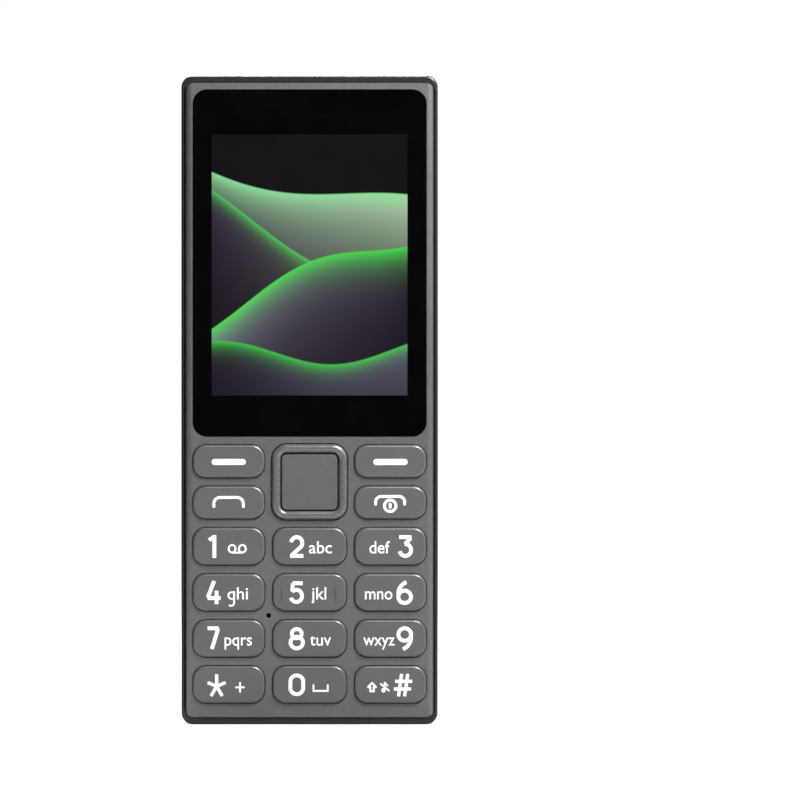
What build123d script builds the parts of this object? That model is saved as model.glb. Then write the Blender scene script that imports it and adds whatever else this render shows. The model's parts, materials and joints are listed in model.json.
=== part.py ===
from build123d import *
import os

os.makedirs("parts", exist_ok=True)

# A bar phone with a key deck, standing on its lower end. Its front faces -Y.
# X and Z are measured from the middle of the lower end. Depths run from the
# face of the key deck towards the back.

# Body
body_thickness = 13.4
corner_radius = 2.2
rear_corner_width = 5.8
rear_corner_height = 2.4
rear_side_radius = 6.0
rear_end_radius = 0.7
back_crown = 0.35

# Fits
fit_gap = 0.1
cover_gap = 0.3
key_gap = 0.15
overrun = 3.0

# Mid frame: a band round the deck, with an end cap at each end
cap_height = 1.3
cap_setback = 0.35
frame_edge_radius = 0.45
rim_width = 0.5
band_wall = 1.1
band_back = 5.2

# Front housing: the deck
deck_thickness = 1.6
deck_side_radius = 1.3
deck_corner_radius = 1.8
deck_boss_radius = 1.4

# Display window
window_side_margin = 1.6
window_key_gap = 1.46
window_corner = 2.6
window_margin = 2.7
window_recess = 1.0
window_setback = 0.1
window_edge = 0.12

# Display
active_width = 36.7
active_height = 48.9
active_side_margin = 3.45
active_margin = 8.3
active_chin = 7.6
opening_border = 0.9
panel_side = 2.65
panel_head = 1.1
panel_corner = 0.8
panel_thickness = 1.2
panel_chin = 5.1
backlight_thickness = 1.0
flex_width = 18.0
flex_thickness = 0.2
flex_foot = 2.0

# Earpiece, behind its slot in the window
slot_width = 11.5
slot_height = 0.5
slot_margin = 4.7
mesh_width = 13.0
mesh_height = 2.0
mesh_thickness = 0.3
earpiece_width = 12.0
earpiece_height = 5.4
earpiece_rise = 0.4
earpiece_corner = 1.5

# Number keys and the keys above them
key_side_margin = 1.45
key_end_margin = 3.85
column_gap = 1.2
row_gap = 1.31
function_gap = 1.34
soft_gap = 1.28
middle_key_extra = 0.4
number_key_height = 7.3
function_key_height = 6.42
key_corner = 2.6
key_proud = 0.7
key_edge_radius = 0.45
flange_width = 0.4
flange_thickness = 0.5
key_travel = 0.35
rib_offset = 5.0
rib_width = 0.35
rib_height = 2.2
rib_proud = 0.2

# Navigation ring, its centre key and the rocker that carries the ring
ring_corner = 3.0
ring_gap = 0.2
ring_wall = 1.6
ring_inner_corner = 1.2
ring_proud = 0.9
ring_edge_radius = 0.7
ring_stroke = 0.4
ring_tab_length = 5.0
ring_tab_width = 0.5
ring_tab_thickness = 0.4
centre_proud = 0.3
centre_edge_radius = 0.25
centre_back = 1.7
centre_stem_radius = 1.4
centre_stem_back = 2.3
rocker_gap = 0.15
rocker_end_gap = 0.25
rocker_height = 6.0
rocker_thickness = 0.4
rocker_hole_radius = 2.3
rocker_corner = 1.0

# Keypad mat and domes, on the main board
mat_front = 3.3
mat_thickness = 0.2
mat_margin = 2.6
boss_radius = 1.6
boss_play = 0.05
nav_boss_radius = 0.8
nav_boss_front = 2.85
nav_boss_reach = 6.6
dome_radius = 2.0
dome_thickness = 0.25
dome_edge_radius = 0.12

# Main board and what stands on it
board_front = 3.8
board_thickness = 0.8
board_side_margin = 2.5
board_margin = 3.3
board_corner = 1.0
board_notch_radius = 1.7
shield_thickness = 1.3
shield_corner = 0.6
rf_shield_width = 30.0
rf_shield_height = 22.0
power_shield_width = 26.0
power_shield_height = 14.0
sim_width = 15.0
sim_height = 12.5
sim_drop = 11.5
sim_offset = 8.6
card_width = 14.0
card_height = 13.0
card_sim_gap = 3.25
shield_card_gap = 1.5
motor_radius = 4.0
motor_thickness = 2.6
motor_side_margin = 9.0
motor_drop = 10.4
speaker_height = 11.0
speaker_thickness = 3.8
speaker_side_margin = 2.8
speaker_port_gap = 2.33
speaker_z = 9.7
speaker_corner = 1.5
speaker_cone_radius = 4.2
speaker_cone_depth = 0.8
speaker_hole_radius = 0.5
speaker_hole_pitch = 2.0
speaker_hole_depth = 6.5
speaker_hole_count = 6

# Microphone, behind its hole between two keys
mic_hole_radius = 0.45
mic_width = 3.0
mic_height = 2.0
mic_thickness = 1.0

# Charging and data port, in the lower end
port_width = 8.94
port_thickness = 3.26
port_wall = 0.3
port_length = 7.3
port_setback = 0.3
port_cavity_length = 6.2
tongue_width = 6.69
tongue_thickness = 0.7
tongue_length = 4.6

# Headphone socket, in the upper end
jack_bore_radius = 1.8
jack_bore_length = 14.0
jack_nose_radius = 2.6
jack_width = 6.4
jack_thickness = 5.6
jack_floor = 0.8
jack_side_margin = 10.5
jack_setback = 0.3
jack_corner = 0.6

# Rear cover
cover_wall = 1.1
cover_end_wall = 1.0
cover_hole_gap = 0.3
cover_tab_length = 6.0
cover_tab_thickness = 0.5
cover_tab_reach = 0.9
cover_tab_rise_share = [0.2, 0.5, 0.8]

# Chassis: the inner rear housing, with the battery bay
chassis_wall = 0.9
chassis_front = 4.8
chassis_ceiling = 10.6
bay_floor_front = 6.0
bay_floor_thickness = 0.5
bay_wall = 0.8
bay_gap = 0.3
bay_window_border = 1.8
screw_column_radius = 1.6

# Battery
battery_side_margin = 7.0
battery_rise = 20.5
battery_lens_gap = 8.45
battery_thickness = 5.3
battery_corner = 1.2
battery_play = 0.05
contact_count = 3
contact_pitch = 2.5
contact_width = 1.6
contact_depth = 3.0
contact_thickness = 0.1
connector_width = 9.0
connector_height = 2.4
connector_back = 9.6
prong_width = 0.8
prong_length = 0.15

# Screws
screw_side_margin = 4.1
screw_lower_rise = 0.7
screw_upper_drop = 6.4
screw_shank_radius = 0.65
screw_hole_gap = 0.05
screw_head_radius = 1.1
screw_head_height = 0.9
screw_head_gap = 0.1
screw_head_seat = 8.0
screw_tip = 2.4
screw_slot_radius = 0.5
screw_slot_depth = 0.4

# Camera island
island_drop = 29.6
island_radius = 12.45
island_ring_wall = 0.95
island_proud = 0.8
island_ring_edge = 0.25
island_seat = 11.8
island_base_inset = 0.15
glass_thickness = 0.6
lens_drop = 5.6
lens_ring_radius = 3.65
lens_ring_wall = 1.25
lens_ring_proud = 0.15
lens_thickness = 0.6
barrel_radius = 2.9
barrel_gap = 0.1
module_width = 8.5
module_thickness = 3.6
module_corner = 0.5
torch_rise = 5.86
torch_radius = 2.0
torch_gap = 0.05
led_width = 2.4
led_thickness = 0.8
pin_radius = 0.38
pin_offset = 9.15

# Antenna, on the back of the chassis
antenna_width = 24.0
antenna_height = 8.0
antenna_thickness = 0.2
antenna_seat = 11.75
antenna_drop = 9.9

# The display's lit area sets the window, the deck and the body; the keys share the deck's width
window_width = active_width + 2 * active_side_margin
window_height = active_margin + active_height + active_chin
deck_width = window_width + 2 * window_side_margin
body_width = deck_width + 2 * rim_width + 2 * fit_gap
half_width = body_width / 2
side_key_width = (deck_width - 2 * key_side_margin - 2 * column_gap - middle_key_extra) / 3
middle_key_width = side_key_width + middle_key_extra
column_pitch = (side_key_width + middle_key_width) / 2 + column_gap
row_pitch = number_key_height + row_gap
bottom_row_z = key_end_margin + number_key_height / 2
function_row_z = (
    bottom_row_z + 3 * row_pitch + (number_key_height + function_key_height) / 2 + function_gap
)
soft_row_z = function_row_z + function_key_height + soft_gap
window_bottom = soft_row_z + function_key_height / 2 + window_key_gap
window_top = window_bottom + window_height
window_z = window_bottom + window_height / 2
body_height = window_top + window_margin
deck_height = body_height - 2 * cap_height - 2 * fit_gap

# Places that follow from the sizes above
front_y = -(body_thickness + island_proud - ring_proud) / 2
active_z = window_top - active_margin - active_height / 2
panel_width = active_width + 2 * panel_side
panel_height = panel_chin + active_height + panel_head
panel_z = active_z - active_height / 2 - panel_chin + panel_height / 2
panel_bottom = panel_z - panel_height / 2
slot_z = window_top - slot_margin
board_back = board_front + board_thickness
board_bottom = board_margin
board_width = body_width - 2 * board_side_margin
board_height = body_height - board_bottom - board_margin
flange_front = deck_thickness + fit_gap
flange_back = flange_front + flange_thickness
boss_front = flange_back + key_travel + boss_play
ring_tab_back = deck_thickness + ring_stroke + ring_tab_thickness
rocker_front = ring_tab_back + rocker_gap
rocker_back = rocker_front + rocker_thickness
mat_back = mat_front + mat_thickness
chassis_back = body_thickness - cover_wall - cover_gap
chassis_gap = cover_wall + cover_gap
chassis_bottom = cap_height + fit_gap + cover_end_wall + cover_gap
chassis_top = body_height - chassis_bottom
bay_floor_back = bay_floor_front + bay_floor_thickness
island_z = body_height - island_drop
lens_z = island_z - lens_drop
torch_z = island_z + torch_rise
battery_width = body_width - 2 * battery_side_margin
battery_top = lens_z - module_width / 2 - battery_lens_gap
battery_height = battery_top - battery_rise
battery_z = battery_rise + battery_height / 2
bay_width = battery_width + 2 * bay_gap
bay_height = battery_height + 2 * bay_gap
bay_top = battery_z + bay_height / 2
battery_front = bay_floor_back + battery_play
sim_z = battery_top - sim_drop
card_z = sim_z - sim_height / 2 - card_sim_gap - card_height / 2
power_shield_z = card_z - card_height / 2 - shield_card_gap - power_shield_height / 2
motor_x = motor_side_margin - half_width
motor_z = body_height - motor_drop
antenna_z = body_height - antenna_drop
speaker_width = half_width - speaker_side_margin - port_width / 2 - speaker_port_gap
speaker_x = half_width - speaker_side_margin - speaker_width / 2
jack_x = half_width - jack_side_margin
screw_x = half_width - screw_side_margin
screw_lower_z = window_bottom + screw_lower_rise
screw_upper_z = body_height - screw_upper_drop
screw_column_back = screw_head_seat + screw_head_height + cover_gap
glass_radius = island_radius - island_ring_wall - fit_gap
glass_back = body_thickness + glass_thickness
island_back = body_thickness + island_proud
jack_depth = board_back + 0.5 * jack_thickness + fit_gap
jack_top = body_height - jack_setback
port_depth = board_back + port_thickness / 2
nav_z = (function_row_z + soft_row_z) / 2
mic_z = bottom_row_z + 1.5 * row_pitch
mic_x = -(middle_key_width + column_gap) / 2
ring_width = middle_key_width + 2 * ring_gap
rocker_length = ring_width - 2 * rocker_end_gap
screw_places = [
    (-screw_x, screw_lower_z),
    (screw_x, screw_lower_z),
    (-screw_x, screw_upper_z),
    (screw_x, screw_upper_z),
]

# The keys: name, column, middle height, width and height
key_table = [
    ("soft_key_left", -1, soft_row_z, side_key_width, function_key_height),
    ("soft_key_right", 1, soft_row_z, side_key_width, function_key_height),
    ("call_key", -1, function_row_z, side_key_width, function_key_height),
    ("end_key", 1, function_row_z, side_key_width, function_key_height),
]
number_rows = [
    ("key_star", "key_0", "key_hash"),
    ("key_7", "key_8", "key_9"),
    ("key_4", "key_5", "key_6"),
    ("key_1", "key_2", "key_3"),
]
key_widths = (side_key_width, middle_key_width, side_key_width)
for row, names in enumerate(number_rows):
    for column, name in enumerate(names):
        row_z = bottom_row_z + row * row_pitch
        key_table.append((name, column - 1, row_z, key_widths[column], number_key_height))


def at_depth(depth):
    """A plane that faces the front, at this depth."""
    return Plane.XZ.offset(-(front_y + depth))


def crowned_section(half, front, back, side_radius):
    """The body's plan: square in front, rounded into a crowned back."""
    with BuildSketch() as section:
        with BuildLine():
            Polyline(
                (-half, front_y + back - back_crown),
                (-half, front_y + front),
                (half, front_y + front),
                (half, front_y + back - back_crown),
            )
            ThreePointArc(
                (half, front_y + back - back_crown),
                (0, front_y + back),
                (-half, front_y + back - back_crown),
            )
        make_face()
        fillet(section.vertices().group_by(Axis.Y)[-1], side_radius)
    return section.sketch


def rear_outline():
    """The outline of the body's rear half, with quarter ellipses at its corners."""
    flat_x = half_width - rear_corner_width
    side_z = body_height - rear_corner_height
    with BuildSketch() as outline:
        with BuildLine():
            Line((0, body_height), (flat_x, body_height))
            EllipticalCenterArc((flat_x, side_z), rear_corner_width, rear_corner_height, 0)
            Line((half_width, side_z), (half_width, rear_corner_height))
            EllipticalCenterArc(
                (flat_x, rear_corner_height), rear_corner_width, rear_corner_height, 270
            )
            Line((flat_x, 0), (0, 0))
            Line((0, 0), (0, body_height))
        make_face()
        mirror(about=Plane.YZ)
    return outline.sketch


# Front housing: the deck, with its key holes, window recess and screw bosses
with BuildPart() as front_housing:
    with BuildSketch(Plane.XY.offset(body_height / 2 - deck_height / 2)) as deck_plan:
        with Locations((0, front_y + deck_thickness / 2)):
            Rectangle(deck_width, deck_thickness)
        fillet(deck_plan.vertices().group_by(Axis.Y)[0], deck_side_radius)
    extrude(amount=deck_height)
    with BuildSketch(at_depth(deck_thickness)):
        with Locations((0, body_height / 2)):
            RectangleRounded(deck_width, deck_height, deck_corner_radius)
    extrude(amount=deck_thickness + overrun, mode=Mode.INTERSECT)
    with BuildSketch(at_depth(window_recess)):
        with Locations((0, window_z)):
            RectangleRounded(
                window_width + 2 * fit_gap, window_height + 2 * fit_gap, window_corner + fit_gap
            )
    extrude(amount=window_recess + overrun, mode=Mode.SUBTRACT)
    with BuildSketch(at_depth(deck_thickness)):
        with Locations((0, active_z)):
            Rectangle(active_width + 2 * opening_border, active_height + 2 * opening_border)
    extrude(amount=deck_thickness, mode=Mode.SUBTRACT)
    with BuildSketch(at_depth(window_recess + mesh_thickness)):
        with Locations((0, slot_z)):
            Rectangle(mesh_width + 2 * fit_gap, mesh_height + 2 * fit_gap)
    extrude(amount=mesh_thickness, mode=Mode.SUBTRACT)
    with BuildSketch(at_depth(deck_thickness)):
        with Locations((0, slot_z)):
            SlotOverall(slot_width, mesh_height - 2 * fit_gap)
        for name, column, z, width, height in key_table:
            with Locations((column * column_pitch, z)):
                RectangleRounded(width, height, key_corner)
        with Locations((0, nav_z)):
            RectangleRounded(ring_width, ring_width, ring_corner)
        with Locations((mic_x, mic_z)):
            Circle(mic_hole_radius)
    extrude(amount=deck_thickness + overrun, mode=Mode.SUBTRACT)
    with BuildSketch(at_depth(chassis_front)):
        with Locations(*screw_places):
            Circle(deck_boss_radius)
    extrude(amount=chassis_front - deck_thickness)
    with BuildSketch(at_depth(chassis_front)):
        with Locations(*screw_places):
            Circle(screw_shank_radius + screw_hole_gap)
    extrude(amount=chassis_front - screw_tip + fit_gap, mode=Mode.SUBTRACT)
front_housing.part.label = "front_housing"
export_step(front_housing.part, "parts/front_housing.step")

# Display window: flat glass with its earpiece slot
with BuildPart() as display_window:
    with BuildSketch(at_depth(window_recess)):
        with Locations((0, window_z)):
            RectangleRounded(window_width, window_height, window_corner)
        with Locations((0, slot_z)):
            SlotOverall(slot_width, slot_height, mode=Mode.SUBTRACT)
    extrude(amount=window_recess - window_setback)
    window_face = display_window.faces().sort_by(Axis.Y)[0]
    chamfer(window_face.outer_wire().edges(), window_edge)
display_window.part.label = "display_window"
export_step(display_window.part, "parts/display_window.step")

# Earpiece mesh: a strip in its pocket under the window
with BuildPart() as earpiece_mesh:
    with BuildSketch(at_depth(window_recess + mesh_thickness)):
        with Locations((0, slot_z)):
            Rectangle(mesh_width, mesh_height)
    extrude(amount=mesh_thickness)
earpiece_mesh.part.label = "earpiece_mesh"
export_step(earpiece_mesh.part, "parts/earpiece_mesh.step")

# Earpiece: the receiver capsule between the deck and the board
with BuildPart() as earpiece:
    with BuildSketch(at_depth(board_front)):
        with Locations((0, slot_z + earpiece_rise)):
            RectangleRounded(earpiece_width, earpiece_height, earpiece_corner)
    extrude(amount=board_front - deck_thickness)
earpiece.part.label = "earpiece"
export_step(earpiece.part, "parts/earpiece.step")

# End caps: the two ends of the mid frame, which close the body behind its band
with BuildPart() as end_caps:
    with BuildSketch(Plane.XY):
        add(crowned_section(half_width, band_back, body_thickness, rear_side_radius))
    extrude(amount=body_height)
    with BuildSketch(at_depth(body_thickness)):
        add(rear_outline())
    extrude(amount=body_thickness, mode=Mode.INTERSECT)
    with BuildSketch(Plane.YZ) as side_profile:
        with Locations((front_y + body_thickness / 2, body_height / 2)):
            Rectangle(body_thickness, body_height)
        fillet(side_profile.vertices().group_by(Axis.X)[-1], rear_end_radius)
    extrude(amount=body_width, both=True, mode=Mode.INTERSECT)
    with BuildSketch(at_depth(body_thickness + overrun)):
        with Locations((0, body_height / 2)):
            Rectangle(body_width + overrun, body_height - 2 * cap_height)
    extrude(amount=body_thickness + overrun, mode=Mode.SUBTRACT)

# Mid frame, whole: a band with a rounded front edge, and its end caps
with BuildPart() as whole_frame:
    with BuildSketch(at_depth(band_back)):
        with Locations((0, body_height / 2)):
            RectangleRounded(body_width, body_height, corner_radius)
    extrude(amount=band_back - cap_setback)
    fillet(whole_frame.faces().sort_by(Axis.Y)[0].edges(), frame_edge_radius)
    add(end_caps.part)
    with BuildSketch(at_depth(deck_thickness)):
        with Locations((0, body_height / 2)):
            RectangleRounded(
                deck_width + 2 * fit_gap, deck_height + 2 * fit_gap, deck_corner_radius + fit_gap
            )
    extrude(amount=deck_thickness + overrun, mode=Mode.SUBTRACT)
    with BuildSketch(at_depth(band_back)):
        with Locations((0, body_height / 2)):
            RectangleRounded(
                body_width - 2 * band_wall, body_height - 2 * cap_height, corner_radius - fit_gap
            )
    extrude(amount=band_back, mode=Mode.SUBTRACT)
    with BuildSketch(Plane.XY):
        with Locations((0, front_y + port_depth)):
            SlotOverall(port_width + 2 * fit_gap, port_thickness + 2 * fit_gap)
        with Locations((speaker_x, front_y + speaker_hole_depth)):
            with GridLocations(speaker_hole_pitch, 0, speaker_hole_count, 1):
                Circle(speaker_hole_radius)
    extrude(amount=cap_height + overrun, mode=Mode.SUBTRACT)
    with BuildSketch(Plane.XY.offset(body_height)):
        with Locations((jack_x, front_y + jack_depth)):
            Circle(jack_nose_radius + fit_gap)
    extrude(amount=-cap_height - overrun, mode=Mode.SUBTRACT)

# Its left half
with BuildPart() as mid_frame_left:
    add(whole_frame.part)
    split(bisect_by=Plane.YZ, keep=Keep.BOTTOM)
mid_frame_left.part.label = "mid_frame_left"
export_step(mid_frame_left.part, "parts/mid_frame_left.step")

# Its right half
with BuildPart() as mid_frame_right:
    add(whole_frame.part)
    split(bisect_by=Plane.YZ, keep=Keep.TOP)
mid_frame_right.part.label = "mid_frame_right"
export_step(mid_frame_right.part, "parts/mid_frame_right.step")

# Rear cover: a crowned shell between the end caps, open in front
cover_bottom = cap_height + fit_gap
cover_top = body_height - cover_bottom
cover_front = band_back + fit_gap
tab_x = half_width - cover_wall - fit_gap - cover_tab_thickness / 2
with BuildPart() as rear_cover:
    with BuildSketch(Plane.XY.offset(cover_bottom)):
        add(crowned_section(half_width, cover_front, body_thickness, rear_side_radius))
    extrude(amount=cover_top - cover_bottom)
    with BuildSketch(at_depth(body_thickness)):
        add(rear_outline())
    extrude(amount=body_thickness, mode=Mode.INTERSECT)
    with BuildSketch(Plane.XY.offset(cover_bottom + cover_end_wall)):
        add(
            crowned_section(
                half_width - cover_wall,
                cover_front - overrun,
                body_thickness - cover_wall,
                rear_side_radius - cover_wall,
            )
        )
    extrude(amount=cover_top - cover_bottom - 2 * cover_end_wall, mode=Mode.SUBTRACT)
    with BuildSketch(at_depth(body_thickness)):
        with Locations((0, island_z)):
            Circle(island_radius + cover_hole_gap)
    extrude(amount=cover_wall + cover_gap, mode=Mode.SUBTRACT)
    with BuildSketch(Plane.XY.offset(cover_bottom)):
        with Locations((0, front_y + port_depth - overrun / 2)):
            Rectangle(port_width + 2 * cover_gap, port_thickness + 2 * cover_gap + overrun)
        with Locations((speaker_x, front_y + speaker_hole_depth)):
            SlotOverall(
                speaker_hole_count * speaker_hole_pitch, 2 * speaker_hole_radius + cover_gap
            )
    extrude(amount=cover_end_wall, mode=Mode.SUBTRACT)
    with BuildSketch(Plane.XY.offset(cover_top)):
        with Locations((jack_x, front_y + jack_depth)):
            Circle(jack_nose_radius + cover_gap)
        with Locations((jack_x, front_y + jack_depth - overrun)):
            Rectangle(2 * jack_nose_radius + 2 * cover_gap, 2 * overrun)
    extrude(amount=-cover_end_wall, mode=Mode.SUBTRACT)
    with BuildSketch(at_depth(cover_front + cover_tab_reach)):
        for share in cover_tab_rise_share:
            with Locations((-tab_x, share * body_height), (tab_x, share * body_height)):
                Rectangle(cover_tab_thickness, cover_tab_length)
    extrude(amount=2 * cover_tab_reach)
    with BuildSketch(at_depth(cover_front + cover_tab_reach)):
        for share in cover_tab_rise_share:
            with Locations((-tab_x, share * body_height), (tab_x, share * body_height)):
                Rectangle(cover_tab_thickness + 2 * fit_gap, cover_tab_length)
    extrude(amount=cover_tab_reach)
rear_cover.part.label = "rear_cover"
export_step(rear_cover.part, "parts/rear_cover.step")

# Chassis: the inner rear housing. Its bay takes the battery from behind.
with BuildPart() as chassis:
    with BuildSketch(Plane.XY.offset(chassis_bottom)):
        add(
            crowned_section(
                half_width - chassis_gap,
                chassis_front,
                chassis_back,
                rear_side_radius - chassis_gap,
            )
        )
    extrude(amount=chassis_top - chassis_bottom)
    with BuildSketch(Plane.XY.offset(chassis_bottom + chassis_wall)):
        add(
            crowned_section(
                half_width - chassis_gap - chassis_wall,
                chassis_front - overrun,
                chassis_ceiling,
                rear_side_radius - chassis_gap - chassis_wall,
            )
        )
    extrude(amount=chassis_top - chassis_bottom - 2 * chassis_wall, mode=Mode.SUBTRACT)
    with BuildSketch(at_depth(chassis_ceiling + fit_gap)):
        with Locations((0, battery_z)):
            Rectangle(bay_width + 2 * bay_wall, bay_height + 2 * bay_wall)
    extrude(amount=chassis_ceiling + fit_gap - bay_floor_front)
    with BuildSketch(at_depth(screw_column_back)):
        with Locations(*screw_places):
            Circle(screw_column_radius)
    extrude(amount=screw_column_back - chassis_front)
    with BuildSketch(at_depth(chassis_back + overrun)):
        with Locations((0, battery_z)):
            RectangleRounded(bay_width, bay_height, battery_corner)
    extrude(amount=chassis_back + overrun - bay_floor_back, mode=Mode.SUBTRACT)
    with BuildSketch(at_depth(bay_floor_back)):
        with Locations((-sim_offset, sim_z), (sim_offset, sim_z)):
            Rectangle(sim_width - 2 * bay_window_border, sim_height - 2 * bay_window_border)
        with Locations((0, card_z)):
            Rectangle(card_width - 2 * bay_window_border, card_height - 2 * bay_window_border)
    extrude(amount=bay_floor_thickness, mode=Mode.SUBTRACT)
    with BuildSketch(at_depth(connector_back + fit_gap)):
        with Locations((0, bay_top + connector_height / 2)):
            Rectangle(connector_width + 2 * fit_gap, connector_height + 4 * fit_gap)
    extrude(amount=connector_back + fit_gap - chassis_front + overrun, mode=Mode.SUBTRACT)
    with BuildSketch(at_depth(chassis_back + overrun)):
        with Locations(*screw_places):
            Circle(screw_head_radius + screw_head_gap)
    extrude(amount=chassis_back + overrun - screw_head_seat, mode=Mode.SUBTRACT)
    with BuildSketch(at_depth(chassis_back)):
        with Locations(*screw_places):
            Circle(screw_shank_radius + screw_hole_gap)
    extrude(amount=chassis_back - chassis_front + overrun, mode=Mode.SUBTRACT)
    with BuildSketch(at_depth(chassis_back + overrun)):
        with Locations((0, island_z)):
            Circle(island_radius)
    extrude(amount=chassis_back + overrun - island_seat, mode=Mode.SUBTRACT)
    with BuildSketch(at_depth(chassis_back + overrun)):
        with Locations((0, lens_z)):
            Circle(barrel_radius + barrel_gap)
    extrude(amount=overrun + chassis_back - chassis_ceiling + fit_gap, mode=Mode.SUBTRACT)
    with BuildSketch(at_depth(chassis_back + overrun)):
        with Locations((0, antenna_z)):
            Rectangle(antenna_width + 2 * fit_gap, antenna_height + 2 * fit_gap)
    extrude(amount=chassis_back + overrun - antenna_seat, mode=Mode.SUBTRACT)
    with BuildSketch(at_depth(chassis_back)):
        for share in cover_tab_rise_share:
            with Locations((-tab_x, share * body_height), (tab_x, share * body_height)):
                Rectangle(
                    cover_tab_thickness + 2 * cover_gap, cover_tab_length + 2 * cover_gap
                )
    extrude(amount=chassis_back - chassis_front, mode=Mode.SUBTRACT)
    with BuildSketch(Plane.XY.offset(chassis_bottom)):
        with Locations((0, front_y + port_depth - overrun / 2)):
            Rectangle(port_width + 2 * fit_gap, port_thickness + 2 * fit_gap + overrun)
        with Locations((speaker_x, front_y + speaker_hole_depth)):
            SlotOverall(
                speaker_hole_count * speaker_hole_pitch, 2 * speaker_hole_radius + cover_gap
            )
    extrude(amount=chassis_wall, mode=Mode.SUBTRACT)
    with BuildSketch(Plane.XY.offset(chassis_top)):
        with Locations((jack_x, front_y + jack_depth)):
            Circle(jack_nose_radius + fit_gap)
        with Locations((jack_x, front_y + jack_depth - overrun)):
            Rectangle(2 * jack_nose_radius + 2 * fit_gap, 2 * overrun)
    extrude(amount=-chassis_wall, mode=Mode.SUBTRACT)
chassis.part.label = "chassis"
export_step(chassis.part, "parts/chassis.step")

# Display panel, with its chin towards the keys
with BuildPart() as lcd_panel:
    with BuildSketch(at_depth(deck_thickness + panel_thickness)):
        with Locations((0, panel_z)):
            RectangleRounded(panel_width, panel_height, panel_corner)
    extrude(amount=panel_thickness)
lcd_panel.part.label = "lcd_panel"
export_step(lcd_panel.part, "parts/lcd_panel.step")

# Backlight frame, between the panel and the board
with BuildPart() as backlight_frame:
    with BuildSketch(at_depth(deck_thickness + panel_thickness + backlight_thickness)):
        with Locations((0, panel_z)):
            RectangleRounded(panel_width, panel_height, panel_corner)
    extrude(amount=backlight_thickness)
backlight_frame.part.label = "backlight_frame"
export_step(backlight_frame.part, "parts/backlight_frame.step")

# Display flex: a strip below the panel that turns onto the board
with BuildPart() as display_flex:
    with BuildSketch(at_depth(board_front - flex_thickness)):
        with Locations((0, panel_bottom - fit_gap - flex_thickness / 2)):
            Rectangle(flex_width, flex_thickness)
    extrude(amount=panel_thickness)
    with BuildSketch(at_depth(board_front)):
        with Locations((0, panel_bottom - fit_gap - flex_foot / 2)):
            Rectangle(flex_width, flex_foot)
    extrude(amount=flex_thickness)
display_flex.part.label = "display_flex"
export_step(display_flex.part, "parts/display_flex.step")

# Main board, notched for the screw bosses
with BuildPart() as main_board:
    with BuildSketch(at_depth(board_back)):
        with Locations((0, body_height / 2)):
            RectangleRounded(board_width, board_height, board_corner)
        with Locations(*screw_places):
            Circle(board_notch_radius, mode=Mode.SUBTRACT)
    extrude(amount=board_thickness)
main_board.part.label = "main_board"
export_step(main_board.part, "parts/main_board.step")


def build_on_board(name, places, width, height, corner, thickness):
    """Boxes that stand on the back of the board, one solid at each place."""
    with BuildPart() as item:
        with BuildSketch(at_depth(board_back + thickness)):
            with Locations(*places):
                RectangleRounded(width, height, corner)
        extrude(amount=thickness)
    item.part.label = name
    export_step(item.part, f"parts/{name}.step")


build_on_board(
    "rf_shield", [(0, island_z)], rf_shield_width, rf_shield_height, shield_corner, shield_thickness
)
build_on_board(
    "power_shield",
    [(0, power_shield_z)],
    power_shield_width,
    power_shield_height,
    shield_corner,
    shield_thickness,
)
build_on_board(
    "sim_holders",
    [(-sim_offset, sim_z), (sim_offset, sim_z)],
    sim_width,
    sim_height,
    shield_corner,
    shield_thickness,
)
build_on_board(
    "card_holder", [(0, card_z)], card_width, card_height, shield_corner, shield_thickness
)

# Vibration motor: a coin on the board
with BuildPart() as vibration_motor:
    with BuildSketch(at_depth(board_back + motor_thickness)):
        with Locations((motor_x, motor_z)):
            Circle(motor_radius)
    extrude(amount=motor_thickness)
vibration_motor.part.label = "vibration_motor"
export_step(vibration_motor.part, "parts/vibration_motor.step")

# Loudspeaker: a box with a round cone in its back
with BuildPart() as loudspeaker:
    with BuildSketch(at_depth(board_back + speaker_thickness)):
        with Locations((speaker_x, speaker_z)):
            RectangleRounded(speaker_width, speaker_height, speaker_corner)
    extrude(amount=speaker_thickness)
    with BuildSketch(at_depth(board_back + speaker_thickness)):
        with Locations((speaker_x, speaker_z)):
            Circle(speaker_cone_radius)
    extrude(amount=speaker_cone_depth, mode=Mode.SUBTRACT)
loudspeaker.part.label = "loudspeaker"
export_step(loudspeaker.part, "parts/loudspeaker.step")

# Microphone, on the front of the board
with BuildPart() as microphone:
    with BuildSketch(at_depth(board_front)):
        with Locations((mic_x, mic_z)):
            Rectangle(mic_width, mic_height)
    extrude(amount=mic_thickness)
microphone.part.label = "microphone"
export_step(microphone.part, "parts/microphone.step")

# Charging and data port: a drawn metal shell, open downwards
with BuildPart() as usb_port:
    with BuildSketch(Plane.XY.offset(port_setback)):
        with Locations((0, front_y + port_depth)):
            SlotOverall(port_width, port_thickness)
    extrude(amount=port_length)
    with BuildSketch(Plane.XY.offset(port_setback)):
        with Locations((0, front_y + port_depth)):
            SlotOverall(port_width - 2 * port_wall, port_thickness - 2 * port_wall)
    extrude(amount=port_cavity_length, mode=Mode.SUBTRACT)
usb_port.part.label = "usb_port"
export_step(usb_port.part, "parts/usb_port.step")

# Port tongue: the contact blade in the middle of the shell
with BuildPart() as usb_tongue:
    with BuildSketch(Plane.XY.offset(port_setback + port_cavity_length)):
        with Locations((0, front_y + port_depth)):
            Rectangle(tongue_width, tongue_thickness)
    extrude(amount=-tongue_length)
usb_tongue.part.label = "usb_tongue"
export_step(usb_tongue.part, "parts/usb_tongue.step")

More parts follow.
